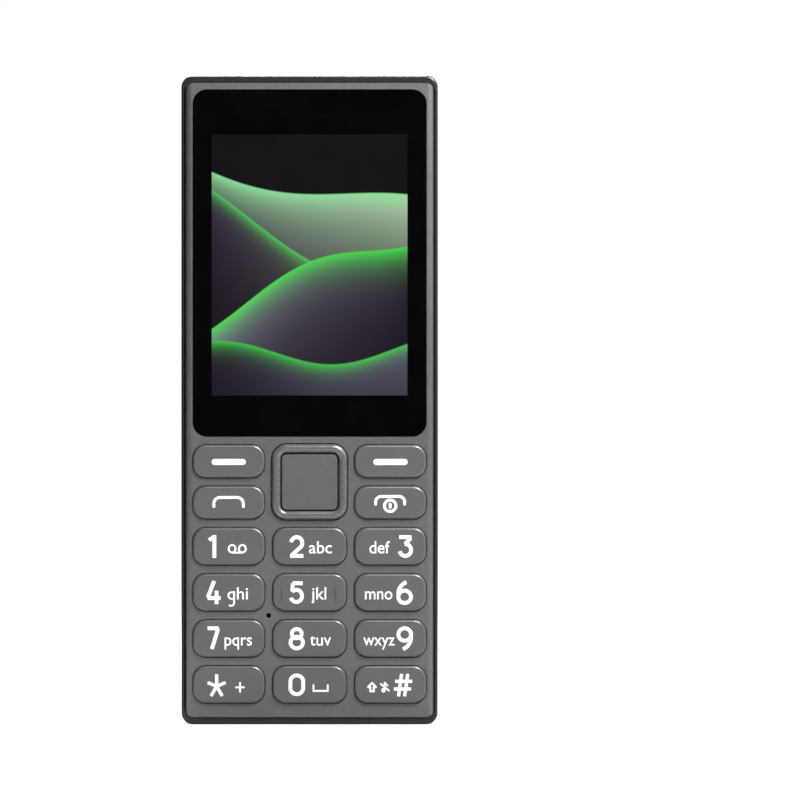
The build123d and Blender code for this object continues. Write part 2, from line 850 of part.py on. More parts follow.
# Headphone socket: a block whose round nose reaches through the upper end cap
jack_block_top = chassis_top - chassis_wall - fit_gap
with BuildPart() as audio_jack:
    with BuildSketch(Plane.XY.offset(jack_top - jack_bore_length - jack_floor)):
        with Locations((jack_x, front_y + jack_depth)):
            RectangleRounded(jack_width, jack_thickness, jack_corner)
    extrude(amount=jack_block_top - jack_top + jack_bore_length + jack_floor)
    with BuildSketch(Plane.XY.offset(jack_block_top)):
        with Locations((jack_x, front_y + jack_depth)):
            Circle(jack_nose_radius)
    extrude(amount=jack_top - jack_block_top)
    with BuildSketch(Plane.XY.offset(jack_top)):
        with Locations((jack_x, front_y + jack_depth)):
            Circle(jack_bore_radius)
    extrude(amount=-jack_bore_length, mode=Mode.SUBTRACT)
audio_jack.part.label = "audio_jack"
export_step(audio_jack.part, "parts/audio_jack.step")

# Keypad mat: a sheet with a boss under each key, and a hole for the microphone
mat_top = panel_bottom - flex_foot - mat_margin / 2
nav_bosses = [(0, nav_z - nav_boss_reach), (0, nav_z + nav_boss_reach)]
key_places = [(column * column_pitch, z) for name, column, z, width, height in key_table]
with BuildPart() as keypad_mat:
    with BuildSketch(at_depth(mat_back)):
        with Locations((0, (mat_top + board_bottom) / 2)):
            Rectangle(board_width, mat_top - board_bottom)
        with Locations((mic_x, mic_z)):
            Rectangle(mic_width + 4 * fit_gap, mic_height + 4 * fit_gap, mode=Mode.SUBTRACT)
    extrude(amount=mat_thickness)
    with BuildSketch(at_depth(mat_front)):
        with Locations(*key_places):
            Circle(boss_radius)
    extrude(amount=mat_front - boss_front)
    with BuildSketch(at_depth(mat_front)):
        with Locations((0, nav_z)):
            Circle(centre_stem_radius)
    extrude(amount=mat_front - centre_stem_back - key_travel - boss_play)
    with BuildSketch(at_depth(mat_front)):
        with Locations(*nav_bosses):
            Circle(nav_boss_radius)
    extrude(amount=mat_front - nav_boss_front)
keypad_mat.part.label = "keypad_mat"
export_step(keypad_mat.part, "parts/keypad_mat.step")

# Metal domes: one under each key, five under the navigation keys
dome_places = key_places + nav_bosses
dome_places += [(-nav_boss_reach, nav_z), (0, nav_z), (nav_boss_reach, nav_z)]
with BuildPart() as metal_domes:
    with BuildSketch(at_depth(board_front)):
        with Locations(*dome_places):
            Circle(dome_radius)
    extrude(amount=dome_thickness)
    fillet(metal_domes.edges().group_by(Axis.Y)[0], dome_edge_radius)
metal_domes.part.label = "metal_domes"
export_step(metal_domes.part, "parts/metal_domes.step")


def build_key(name, column, z, width, height):
    """A key that stands proud of the deck, with a flange that the deck holds back."""
    x = column * column_pitch
    with BuildPart() as key:
        with BuildSketch(at_depth(flange_back)):
            with Locations((x, z)):
                RectangleRounded(
                    width + 2 * flange_width, height + 2 * flange_width, key_corner + flange_width
                )
        extrude(amount=flange_thickness)
        with BuildSketch(at_depth(flange_front)):
            with Locations((x, z)):
                RectangleRounded(width - 2 * key_gap, height - 2 * key_gap, key_corner - key_gap)
        extrude(amount=flange_front + key_proud)
        fillet(key.faces().sort_by(Axis.Y)[0].edges(), key_edge_radius)
        if name == "key_5":
            with BuildSketch(at_depth(0)):
                with Locations((x - rib_offset, z), (x + rib_offset, z)):
                    SlotOverall(rib_height, rib_width, rotation=90)
            extrude(amount=key_proud + rib_proud)
    key.part.label = name
    export_step(key.part, f"parts/{name}.step")


for key_row in key_table:
    build_key(*key_row)

# Navigation ring: a rounded square ring, held by a tab at the middle of each side
ring_outer = ring_width - 2 * ring_gap
ring_inner = ring_outer - 2 * ring_wall
tab_reach = ring_outer / 2 + ring_tab_width / 2
with BuildPart() as nav_ring:
    with BuildSketch(at_depth(ring_tab_back)):
        with Locations((0, nav_z)):
            RectangleRounded(ring_outer, ring_outer, ring_corner - ring_gap)
            RectangleRounded(ring_inner, ring_inner, ring_inner_corner, mode=Mode.SUBTRACT)
    extrude(amount=ring_tab_back + ring_proud)
    ring_face = nav_ring.faces().sort_by(Axis.Y)[0]
    fillet(ring_face.edges(), ring_edge_radius)
    with BuildSketch(at_depth(ring_tab_back)):
        with Locations((-tab_reach, nav_z), (tab_reach, nav_z)):
            Rectangle(ring_tab_width + fit_gap, ring_tab_length)
        with Locations((0, nav_z - tab_reach), (0, nav_z + tab_reach)):
            Rectangle(ring_tab_length, ring_tab_width + fit_gap)
    extrude(amount=ring_tab_thickness)
nav_ring.part.label = "nav_ring"
export_step(nav_ring.part, "parts/nav_ring.step")

# Navigation rocker: the frame that the ring rocks on, open in the middle
with BuildPart() as nav_rocker:
    with BuildSketch(at_depth(rocker_back)):
        with Locations((0, nav_z)):
            RectangleRounded(rocker_length, rocker_height, rocker_corner)
            Circle(rocker_hole_radius, mode=Mode.SUBTRACT)
    extrude(amount=rocker_thickness)
nav_rocker.part.label = "nav_rocker"
export_step(nav_rocker.part, "parts/nav_rocker.step")

# Centre key, recessed in the ring, with the stem that presses its dome
centre_width = ring_inner - 2 * ring_gap
with BuildPart() as nav_centre:
    with BuildSketch(at_depth(centre_back)):
        with Locations((0, nav_z)):
            RectangleRounded(centre_width, centre_width, ring_inner_corner - ring_gap)
    extrude(amount=centre_back + centre_proud)
    fillet(nav_centre.faces().sort_by(Axis.Y)[0].edges(), centre_edge_radius)
    with BuildSketch(at_depth(centre_stem_back)):
        with Locations((0, nav_z)):
            Circle(centre_stem_radius)
    extrude(amount=centre_stem_back - centre_back)
nav_centre.part.label = "nav_centre"
export_step(nav_centre.part, "parts/nav_centre.step")

# Battery: a rounded block in its bay
with BuildPart() as battery:
    with BuildSketch(at_depth(battery_front + battery_thickness)):
        with Locations((0, battery_z)):
            RectangleRounded(battery_width, battery_height, battery_corner)
    extrude(amount=battery_thickness)
battery.part.label = "battery"
export_step(battery.part, "parts/battery.step")

# Battery contacts: pads on the battery's upper end
pad_depth = (battery_front + connector_back) / 2
with BuildPart() as battery_contacts:
    with BuildSketch(Plane.XY.offset(battery_top)):
        with Locations((0, front_y + pad_depth)):
            with GridLocations(contact_pitch, 0, contact_count, 1):
                Rectangle(contact_width, contact_depth)
    extrude(amount=contact_thickness)
battery_contacts.part.label = "battery_contacts"
export_step(battery_contacts.part, "parts/battery_contacts.step")

# Battery connector: a block on the board whose prongs face the pads
connector_bottom = bay_top + fit_gap / 2
with BuildPart() as battery_connector:
    with BuildSketch(at_depth(connector_back)):
        with Locations((0, connector_bottom + connector_height / 2)):
            Rectangle(connector_width, connector_height)
    extrude(amount=connector_back - board_back)
    with BuildSketch(Plane.XY.offset(connector_bottom)):
        with Locations((0, front_y + pad_depth)):
            with GridLocations(contact_pitch, 0, contact_count, 1):
                Rectangle(prong_width, contact_depth)
    extrude(amount=-prong_length)
battery_connector.part.label = "battery_connector"
export_step(battery_connector.part, "parts/battery_connector.step")

# Screws: four that draw the chassis to the deck
with BuildPart() as screws:
    with BuildSketch(at_depth(screw_head_seat)):
        with Locations(*screw_places):
            Circle(screw_shank_radius)
    extrude(amount=screw_head_seat - screw_tip)
    with BuildSketch(at_depth(screw_head_seat + screw_head_height)):
        with Locations(*screw_places):
            Circle(screw_head_radius)
    extrude(amount=screw_head_height)
    with BuildSketch(at_depth(screw_head_seat + screw_head_height)):
        with Locations(*screw_places):
            RegularPolygon(screw_slot_radius, 6)
    extrude(amount=screw_slot_depth, mode=Mode.SUBTRACT)
screws.part.label = "screws"
export_step(screws.part, "parts/screws.step")

# Camera island: a base on the chassis, a metal ring and a glass disc
with BuildPart() as island_base:
    with BuildSketch(at_depth(body_thickness)):
        with Locations((0, island_z)):
            Circle(island_radius - island_base_inset)
        with Locations((0, lens_z)):
            Circle(barrel_radius + barrel_gap, mode=Mode.SUBTRACT)
        with Locations((0, torch_z)):
            Circle(torch_radius + torch_gap, mode=Mode.SUBTRACT)
    extrude(amount=body_thickness - island_seat)
island_base.part.label = "island_base"
export_step(island_base.part, "parts/island_base.step")

with BuildPart() as island_ring:
    with BuildSketch(at_depth(island_back)):
        with Locations((0, island_z)):
            Circle(island_radius)
            Circle(island_radius - island_ring_wall, mode=Mode.SUBTRACT)
    extrude(amount=island_proud)
    fillet(island_ring.faces().sort_by(Axis.Y)[-1].edges(), island_ring_edge)
island_ring.part.label = "island_ring"
export_step(island_ring.part, "parts/island_ring.step")

with BuildPart() as island_glass:
    with BuildSketch(at_depth(glass_back)):
        with Locations((0, island_z)):
            Circle(glass_radius)
        with Locations((0, lens_z)):
            Circle(lens_ring_radius + torch_gap, mode=Mode.SUBTRACT)
        with Locations((0, torch_z)):
            Circle(torch_radius + torch_gap, mode=Mode.SUBTRACT)
        with Locations((-pin_offset, island_z), (pin_offset, island_z)):
            Circle(pin_radius, mode=Mode.SUBTRACT)
    extrude(amount=glass_thickness)
island_glass.part.label = "island_glass"
export_step(island_glass.part, "parts/island_glass.step")

# Camera: module under the chassis roof, lens and the ring round it
with BuildPart() as camera_module:
    with BuildSketch(at_depth(chassis_ceiling - fit_gap / 2)):
        with Locations((0, lens_z)):
            RectangleRounded(module_width, module_width, module_corner)
    extrude(amount=module_thickness)
    with BuildSketch(at_depth(body_thickness - barrel_gap)):
        with Locations((0, lens_z)):
            Circle(barrel_radius)
    extrude(amount=body_thickness - barrel_gap - chassis_ceiling)
camera_module.part.label = "camera_module"
export_step(camera_module.part, "parts/camera_module.step")

with BuildPart() as camera_lens_ring:
    with BuildSketch(at_depth(glass_back + lens_ring_proud)):
        with Locations((0, lens_z)):
            Circle(lens_ring_radius)
            Circle(lens_ring_radius - lens_ring_wall, mode=Mode.SUBTRACT)
    extrude(amount=glass_thickness + lens_ring_proud)
    ring_back = camera_lens_ring.faces().sort_by(Axis.Y)[-1]
    fillet(ring_back.edges(), lens_ring_proud / 2)
camera_lens_ring.part.label = "camera_lens_ring"
export_step(camera_lens_ring.part, "parts/camera_lens_ring.step")

with BuildPart() as camera_lens:
    with BuildSketch(at_depth(body_thickness - barrel_gap + lens_thickness)):
        with Locations((0, lens_z)):
            Circle(lens_ring_radius - lens_ring_wall - torch_gap)
    extrude(amount=lens_thickness)
camera_lens.part.label = "camera_lens"
export_step(camera_lens.part, "parts/camera_lens.step")

# Torch: a light on the chassis and the lens over it
with BuildPart() as torch_led:
    with BuildSketch(at_depth(island_seat + led_thickness)):
        with Locations((0, torch_z)):
            Rectangle(led_width, led_width)
    extrude(amount=led_thickness)
torch_led.part.label = "torch_led"
export_step(torch_led.part, "parts/torch_led.step")

with BuildPart() as torch_lens:
    with BuildSketch(at_depth(glass_back)):
        with Locations((0, torch_z)):
            Circle(torch_radius)
    extrude(amount=glass_back - island_seat - led_thickness)
torch_lens.part.label = "torch_lens"
export_step(torch_lens.part, "parts/torch_lens.step")

# Antenna: a sheet on the back of the chassis
with BuildPart() as antenna:
    with BuildSketch(at_depth(antenna_seat + antenna_thickness)):
        with Locations((0, antenna_z)):
            Rectangle(antenna_width, antenna_height)
    extrude(amount=antenna_thickness)
antenna.part.label = "antenna"
export_step(antenna.part, "parts/antenna.step")
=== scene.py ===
import json
import math

import bmesh
import bpy
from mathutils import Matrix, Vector


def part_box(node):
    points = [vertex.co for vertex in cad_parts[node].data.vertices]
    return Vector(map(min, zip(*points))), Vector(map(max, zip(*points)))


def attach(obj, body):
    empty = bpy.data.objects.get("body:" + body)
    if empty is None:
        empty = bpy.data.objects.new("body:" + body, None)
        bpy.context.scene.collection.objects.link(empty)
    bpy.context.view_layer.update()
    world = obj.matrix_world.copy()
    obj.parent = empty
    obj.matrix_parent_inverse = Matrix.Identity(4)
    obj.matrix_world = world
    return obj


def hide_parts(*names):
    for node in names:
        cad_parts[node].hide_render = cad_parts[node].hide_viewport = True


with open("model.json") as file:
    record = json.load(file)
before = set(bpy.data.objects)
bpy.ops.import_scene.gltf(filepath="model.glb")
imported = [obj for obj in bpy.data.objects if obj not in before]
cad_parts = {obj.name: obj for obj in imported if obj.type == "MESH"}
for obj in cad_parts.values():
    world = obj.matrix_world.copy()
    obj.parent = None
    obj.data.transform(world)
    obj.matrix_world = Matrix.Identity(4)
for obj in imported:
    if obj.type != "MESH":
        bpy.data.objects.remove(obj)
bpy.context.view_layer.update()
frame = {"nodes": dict(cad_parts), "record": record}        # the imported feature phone: front towards -Y, standing on its lower end
mm = 0.001


print("frame loaded:", len(frame["nodes"]), "nodes")

nodeSlots = {part["node"]: part["material_slot"] for part in frame["record"]["subparts"]}


# Small helpers for colours and node trees

def hexToLinear(code):
    channels = [int(code[i:i + 2], 16) / 255 for i in (1, 3, 5)]
    return [c / 12.92 if c <= 0.04045 else ((c + 0.055) / 1.055) ** 2.4 for c in channels] + [1]


def addNode(tree, kind, inputs=None, **settings):
    node = tree.nodes.new(kind)
    for name, value in settings.items():
        setattr(node, name, value)
    for socket, value in (inputs or {}).items():
        if isinstance(value, bpy.types.NodeSocket):
            tree.links.new(value, node.inputs[socket])
        else:
            node.inputs[socket].default_value = value
    return node


def emptyTree(owner):
    owner.use_nodes = True
    owner.node_tree.nodes.clear()
    return owner.node_tree


def startMaterial(name, constants):
    # constants go straight onto the shader's own sockets
    material = bpy.data.materials.new(name)
    tree = emptyTree(material)
    shader = addNode(tree, "ShaderNodeBsdfPrincipled", constants)
    addNode(tree, "ShaderNodeOutputMaterial", {"Surface": shader.outputs[0]})
    coords = addNode(tree, "ShaderNodeTexCoord").outputs["Object"]
    return material, tree, shader, coords


def maths(tree, operation, a, b=0.0, clamp=False):
    return addNode(tree, "ShaderNodeMath", {0: a, 1: b}, operation=operation, use_clamp=clamp).outputs[0]


def multiplyAdd(tree, value, factor, extra):
    return addNode(tree, "ShaderNodeMath", {0: value, 1: factor, 2: extra},
                   operation="MULTIPLY_ADD").outputs[0]


def mixColour(tree, factor, a, b, blend="MIX"):
    return addNode(tree, "ShaderNodeMix", {0: factor, 6: a, 7: b},
                   data_type="RGBA", blend_type=blend).outputs[2]


def greyLevel(tree, level):
    return addNode(tree, "ShaderNodeCombineColor", {0: level, 1: level, 2: level}).outputs[0]


def toned(linear, share):
    # the same colour, darker or lighter
    return [min(1, c * share) for c in linear[:3]] + [1]


def noise(tree, coords, grainMm, detail=2.0):
    # a noise whose lumps are about grainMm across
    return addNode(tree, "ShaderNodeTexNoise",
                   {"Vector": coords, "Scale": 1 / (grainMm * mm), "Detail": detail}).outputs["Fac"]


def spread(tree, value, low, high):
    # most of a noise lies between 0.3 and 0.7, which this stretches to low and high
    return addNode(tree, "ShaderNodeMapRange", {
        "Value": value, "From Min": 0.3, "From Max": 0.7, "To Min": low, "To Max": high}).outputs[0]


def addGrain(tree, shader, pattern, dark, light, smoothest, roughest):
    # one pattern varies the colour between two tones, and the roughness with it
    tone = mixColour(tree, spread(tree, pattern, 0.0, 1.0), dark, light)
    tree.links.new(tone, shader.inputs["Base Color"])
    tree.links.new(spread(tree, pattern, smoothest, roughest), shader.inputs["Roughness"])


def addBump(tree, shader, height, depthMm, strength=1.0):
    bump = addNode(tree, "ShaderNodeBump", {"Height": height, "Distance": depthMm * mm, "Strength": strength})
    tree.links.new(bump.outputs[0], shader.inputs["Normal"])


# Finishes

satin = {
    "coat": 0.12,
    "coatRoughness": 0.25,
    "flakeContrast": 0.1,
    "cloud": 14.0,               # millimetres across
    "cloudContrast": 0.04,
    "peel": 0.5,                 # millimetres across
    "peelDepth": 0.0015,
    "smoother": 0.03,            # how far the flakes take the roughness down
    "rougher": 0.04,             # and up
}


def satinPaint(name, colour, flakeMm, metallic, roughness):
    # sprayed metallic lacquer over moulded polycarbonate: aluminium flakes give a soft sparkle,
    # the clear layer's orange peel breaks up the reflections a little
    material, tree, shader, coords = startMaterial(name, {
        "Metallic": metallic, "Coat Weight": satin["coat"], "Coat Roughness": satin["coatRoughness"]})
    flakes = noise(tree, coords, flakeMm, 1.0)
    linear = hexToLinear(colour)
    grains = mixColour(tree, spread(tree, flakes, 0.0, 1.0),
                       toned(linear, 1 - satin["flakeContrast"]), toned(linear, 1 + satin["flakeContrast"]))
    clouds = spread(tree, noise(tree, coords, satin["cloud"]),
                    1 - satin["cloudContrast"], 1 + satin["cloudContrast"])
    tree.links.new(mixColour(tree, 1.0, grains, greyLevel(tree, clouds), "MULTIPLY"),
                   shader.inputs["Base Color"])
    tree.links.new(spread(tree, flakes, roughness - satin["smoother"], roughness + satin["rougher"]),
                   shader.inputs["Roughness"])
    addBump(tree, shader, noise(tree, coords, satin["peel"]), satin["peelDepth"], 0.6)
    return material


def mouldedPlastic(name, colour, roughness, sparkMm=0.12, depthMm=0.006):
    # injection-moulded plastic with a spark-eroded grain: dull, fine, even speckle
    material, tree, shader, coords = startMaterial(name, {"IOR": 1.49})
    grain = noise(tree, coords, sparkMm, 3.0)
    linear = hexToLinear(colour)
    addGrain(tree, shader, grain, toned(linear, 0.85), linear, roughness - 0.06, roughness + 0.06)
    addBump(tree, shader, grain, depthMm)
    return material


def rolledSteel(name, colour, roughness, grainMm=0.08):
    # rolled sheet: long faint scratches one way, so highlights streak
    material, tree, shader, coords = startMaterial(name, {"Metallic": 1.0, "Anisotropic": 0.35})
    stretched = addNode(tree, "ShaderNodeMapping", {"Vector": coords, "Scale": (1.0, 1.0, 0.06)}).outputs[0]
    lines = noise(tree, stretched, grainMm)
    linear = hexToLinear(colour)
    addGrain(tree, shader, lines, toned(linear, 0.82), linear, roughness - 0.06, roughness + 0.08)
    addBump(tree, shader, lines, 0.002, 0.5)
    return material


def turnedAluminium(name, colour, roughness, centre, pitchMm=0.12):
    # lathe-turned and anodised: fine rings about an axis along Y
    material, tree, shader, coords = startMaterial(name, {"Metallic": 1.0})
    flat = addNode(tree, "ShaderNodeMapping", {
        "Vector": coords, "Location": [-c for c in centre], "Scale": (1, 0, 1)}).outputs[0]
    radius = addNode(tree, "ShaderNodeVectorMath", {0: flat}, operation="LENGTH").outputs["Value"]
    rings = maths(tree, "SINE", maths(tree, "MULTIPLY", radius, 2 * math.pi / (pitchMm * mm)))
    tone = addNode(tree, "ShaderNodeMapRange", {"Value": rings, "From Min": -1.0}).outputs[0]
    linear = hexToLinear(colour)
    tree.links.new(mixColour(tree, tone, toned(linear, 0.86), linear), shader.inputs["Base Color"])
    tree.links.new(spread(tree, noise(tree, coords, 0.3), roughness - 0.04, roughness + 0.05),
                   shader.inputs["Roughness"])
    addBump(tree, shader, rings, 0.002, 0.4)
    return material


def polishedGlass(name, colour, roughness=0.04):
    # glass or clear acrylic, printed on its back: a clean polish with a faint haze under it
    material, tree, shader, coords = startMaterial(name, {"IOR": 1.45, "Specular IOR Level": 0.35})
    haze = noise(tree, coords, 4.0, 3.0)
    linear = hexToLinear(colour)
    addGrain(tree, shader, haze, linear, toned(linear, 1.3), roughness * 0.7, roughness * 1.5)
    return material


# Display window: printed black border, and the lit picture seen through the clear middle

display = {
    "width": 36.7 * mm,          # lit area
    "height": 48.9 * mm,
    "centreZ": 85.95 * mm,
    "edge": 0.12 * mm,           # softness of its border
    "strength": 1.0,
    "ground": "#121214",         # the picture's dark above the ribbons
    "depths": "#141016",         # and what a ribbon's own colour sinks into
    "ribbonCrispness": 160.0,
    "ribbonFade": 4.5,
}

# Each ribbon: base level, slope, wave height, waves across, phase, rim glow width (shares of the picture)
# and its body colour on the left and right, and its rim colour
ribbons = [
    (0.90, -0.18, 0.060, 0.55, 0.62, 0.050, "#55505e", "#b4c8ae", "#8fe39a"),
    (0.74, -0.30, 0.075, 0.62, 0.38, 0.022, "#42304a", "#5a6852", "#4fd45c"),
    (0.30, 0.32, 0.055, 0.80, 0.86, 0.040, "#7a7488", "#3a2840", "#46e04a"),
    (0.16, 0.02, 0.050, 0.85, 0.22, 0.020, "#2c1f31", "#5c5a6c", "#3fd646"),
]


def ribbonEdge(tree, u, ribbon):
    # the height of a ribbon's upper edge: a sloping line with a wave on it
    base, slope, wave, count, phase = ribbon[:5]
    angle = multiplyAdd(tree, u, 2 * math.pi * count, 2 * math.pi * phase)
    waved = maths(tree, "MULTIPLY", maths(tree, "SINE", angle), wave)
    return maths(tree, "ADD", waved, multiplyAdd(tree, u, slope, base))


def windowGlass():
    # chemically hardened glass, back-printed black; the lit picture is emission in its clear middle
    material, tree, shader, coords = startMaterial("hardenedWindowGlass", {
        "Roughness": 0.03, "IOR": 1.45, "Specular IOR Level": 0.12,
        "Emission Strength": display["strength"]})
    parts = addNode(tree, "ShaderNodeSeparateXYZ", {"Vector": coords})
    u = maths(tree, "ADD", maths(tree, "DIVIDE", parts.outputs[0], display["width"]), 0.5)
    lowEdge = display["centreZ"] - display["height"] / 2
    v = maths(tree, "DIVIDE", maths(tree, "SUBTRACT", parts.outputs[2], lowEdge), display["height"])

    picture = hexToLinear(display["ground"])
    for ribbon in ribbons:
        glowWidth, left, right, rim = ribbon[5:]
        inside = maths(tree, "SUBTRACT", ribbonEdge(tree, u, ribbon), v)
        mask = maths(tree, "MULTIPLY", inside, display["ribbonCrispness"], clamp=True)
        depth = maths(tree, "MAXIMUM", inside, 0.0)
        glow = maths(tree, "EXPONENT", maths(tree, "DIVIDE", depth, -glowWidth))
        body = mixColour(tree, u, hexToLinear(left), hexToLinear(right))
        fade = maths(tree, "EXPONENT", maths(tree, "MULTIPLY", depth, -display["ribbonFade"]))
        shaded = mixColour(tree, fade, hexToLinear(display["depths"]), body)
        picture = mixColour(tree, mask, picture, mixColour(tree, glow, shaded, hexToLinear(rim)))

    def band(value, size):
        # 1 within a band of this size about zero, with a soft border
        distance = maths(tree, "SUBTRACT", size / 2, maths(tree, "ABSOLUTE", value))
        return maths(tree, "DIVIDE", distance, display["edge"], clamp=True)

    acrossX = band(parts.outputs[0], display["width"])
    acrossZ = band(maths(tree, "SUBTRACT", parts.outputs[2], display["centreZ"]), display["height"])
    lit = maths(tree, "MULTIPLY", acrossX, acrossZ)
    tree.links.new(mixColour(tree, lit, (0, 0, 0, 1), picture), shader.inputs["Emission Color"])
    haze = spread(tree, noise(tree, coords, 6.0), 0.0, 1.0)
    tree.links.new(mixColour(tree, haze, hexToLinear("#010101"), hexToLinear("#030304")),
                   shader.inputs["Base Color"])
    return material


island = {
    "middle": 91.8,              # heights above the foot, in millimetres
    "lens": 86.2,
    "torch": 97.66,
    "pins": 91.94,
}
lensCentre = (0, 0, island["lens"] * mm)
islandCentre = (0, 0, island["middle"] * mm)

finishes = {
    "deck_satin": satinPaint("satinPaintDeck", "#7b7b7b", 0.16, 0.85, 0.38),
    "key_satin": satinPaint("satinPaintKeys", "#666667", 0.16, 0.45, 0.33),
    "ring_satin": satinPaint("satinPaintNavigationRing", "#767677", 0.16, 0.60, 0.28),
    "frame_satin": satinPaint("satinPaintMidFrame", "#38383d", 0.16, 0.70, 0.28),
    "cover_metallic": satinPaint("metallicPaintRearCover", "#8e8e90", 0.14, 0.90, 0.34),
    "inner_plastic": mouldedPlastic("mouldedBlackPolycarbonate", "#1d1d1f", 0.55),
    "white_plastic": mouldedPlastic("mouldedWhiteNylon", "#d8d8d5", 0.5),
    "battery_wrap": mouldedPlastic("batteryFilmWrap", "#4c4d50", 0.35, 0.6, 0.002),
    "silicone": mouldedPlastic("translucentSiliconeMat", "#b9bab8", 0.45, 0.4, 0.003),
    "board_green": mouldedPlastic("solderMaskGlassFibre", "#1c4a30", 0.32, 0.3, 0.004),
    "flex_amber": mouldedPlastic("polyimideFilm", "#a8671e", 0.3, 0.5, 0.002),
    "led_white": mouldedPlastic("ledPhosphor", "#e8d890", 0.6, 0.1, 0.004),
    "display": polishedGlass("displayPanel", "#141416", 0.12),
    "island_glass": polishedGlass("islandBlackGlass", "#070708"),
    "steel": rolledSteel("rolledStainlessSteel", "#b9b9bb", 0.32),
    "shield_tin": rolledSteel("pressedTinCan", "#a9a9a6", 0.35),
    "screw_steel": rolledSteel("zincPlatedSteel", "#a2a3a8", 0.28),
    "gold": rolledSteel("goldPlatedCopper", "#d9b25a", 0.25),
    "ring_metal": turnedAluminium("turnedDarkAluminium", "#4b4a50", 0.3, islandCentre),
    "lens_glass": polishedGlass("coatedLensGlass", "#0b0c12", 0.02),
    "torch_lens": polishedGlass("torchCover", "#c9c7bd", 0.15),
    "window_glass": windowGlass(),
}

for nodeName, nodeObject in frame["nodes"].items():
    nodeObject.data.materials.clear()
    nodeObject.data.materials.append(finishes[nodeSlots[nodeName]])
frame["nodes"]["earpiece_mesh"].data.materials[0] = mouldedPlastic("blackDustMesh", "#08080a", 0.7)
# painted shade: the microphone gets a near-black finish so that its hole reads as dark as a shaded hole
frame["nodes"]["microphone"].data.materials[0] = mouldedPlastic("darkMicrophonePaintedShade", "#060607", 0.8)
frame["nodes"]["camera_lens_ring"].data.materials[0] = turnedAluminium(
    "turnedGreyLensRing", "#9a9a9c", 0.34, lensCentre)
print("finishes on every node")


# Legends: white ink strokes on the key faces

legend = {
    "digitStroke": 0.70,        # all in millimetres
    "hashStroke": 0.60,
    "smallStroke": 0.34,
    "iconStroke": 0.52,
    "dashStroke": 1.12,
    "ink": 0.02,                # ink stands this far off the key
    "sunk": 0.03,               # and its solid starts this far inside it
    "layerStep": 0.004,         # crossing strokes lie one above the other
    "letterSize": 3.25,         # the built-in font, scaled to each word's own width
    "letterBold": 0.018,
    "letterRise": -1.26,        # baseline below the key's middle
    "sharpTurn": 32,            # degrees: a stroke that turns more is cut there
    "capSteps": 8,              # pieces that a round end and a letter curve are cut into
    "letterSteps": 6,
    "tailBelow": 0.2,           # of a q, all that hangs lower than this is its stem
    "hookRadius": 0.55,         # the hook that makes it a g
    "hookTurn": -125,           # degrees
    "hookOverlap": 0.1,
}


def arc(cx, cy, radius, start, end, steps=20):
    angles = [math.radians(start + (end - start) * i / steps) for i in range(steps + 1)]
    return [(cx + radius * math.cos(a), cy + radius * math.sin(a)) for a in angles]


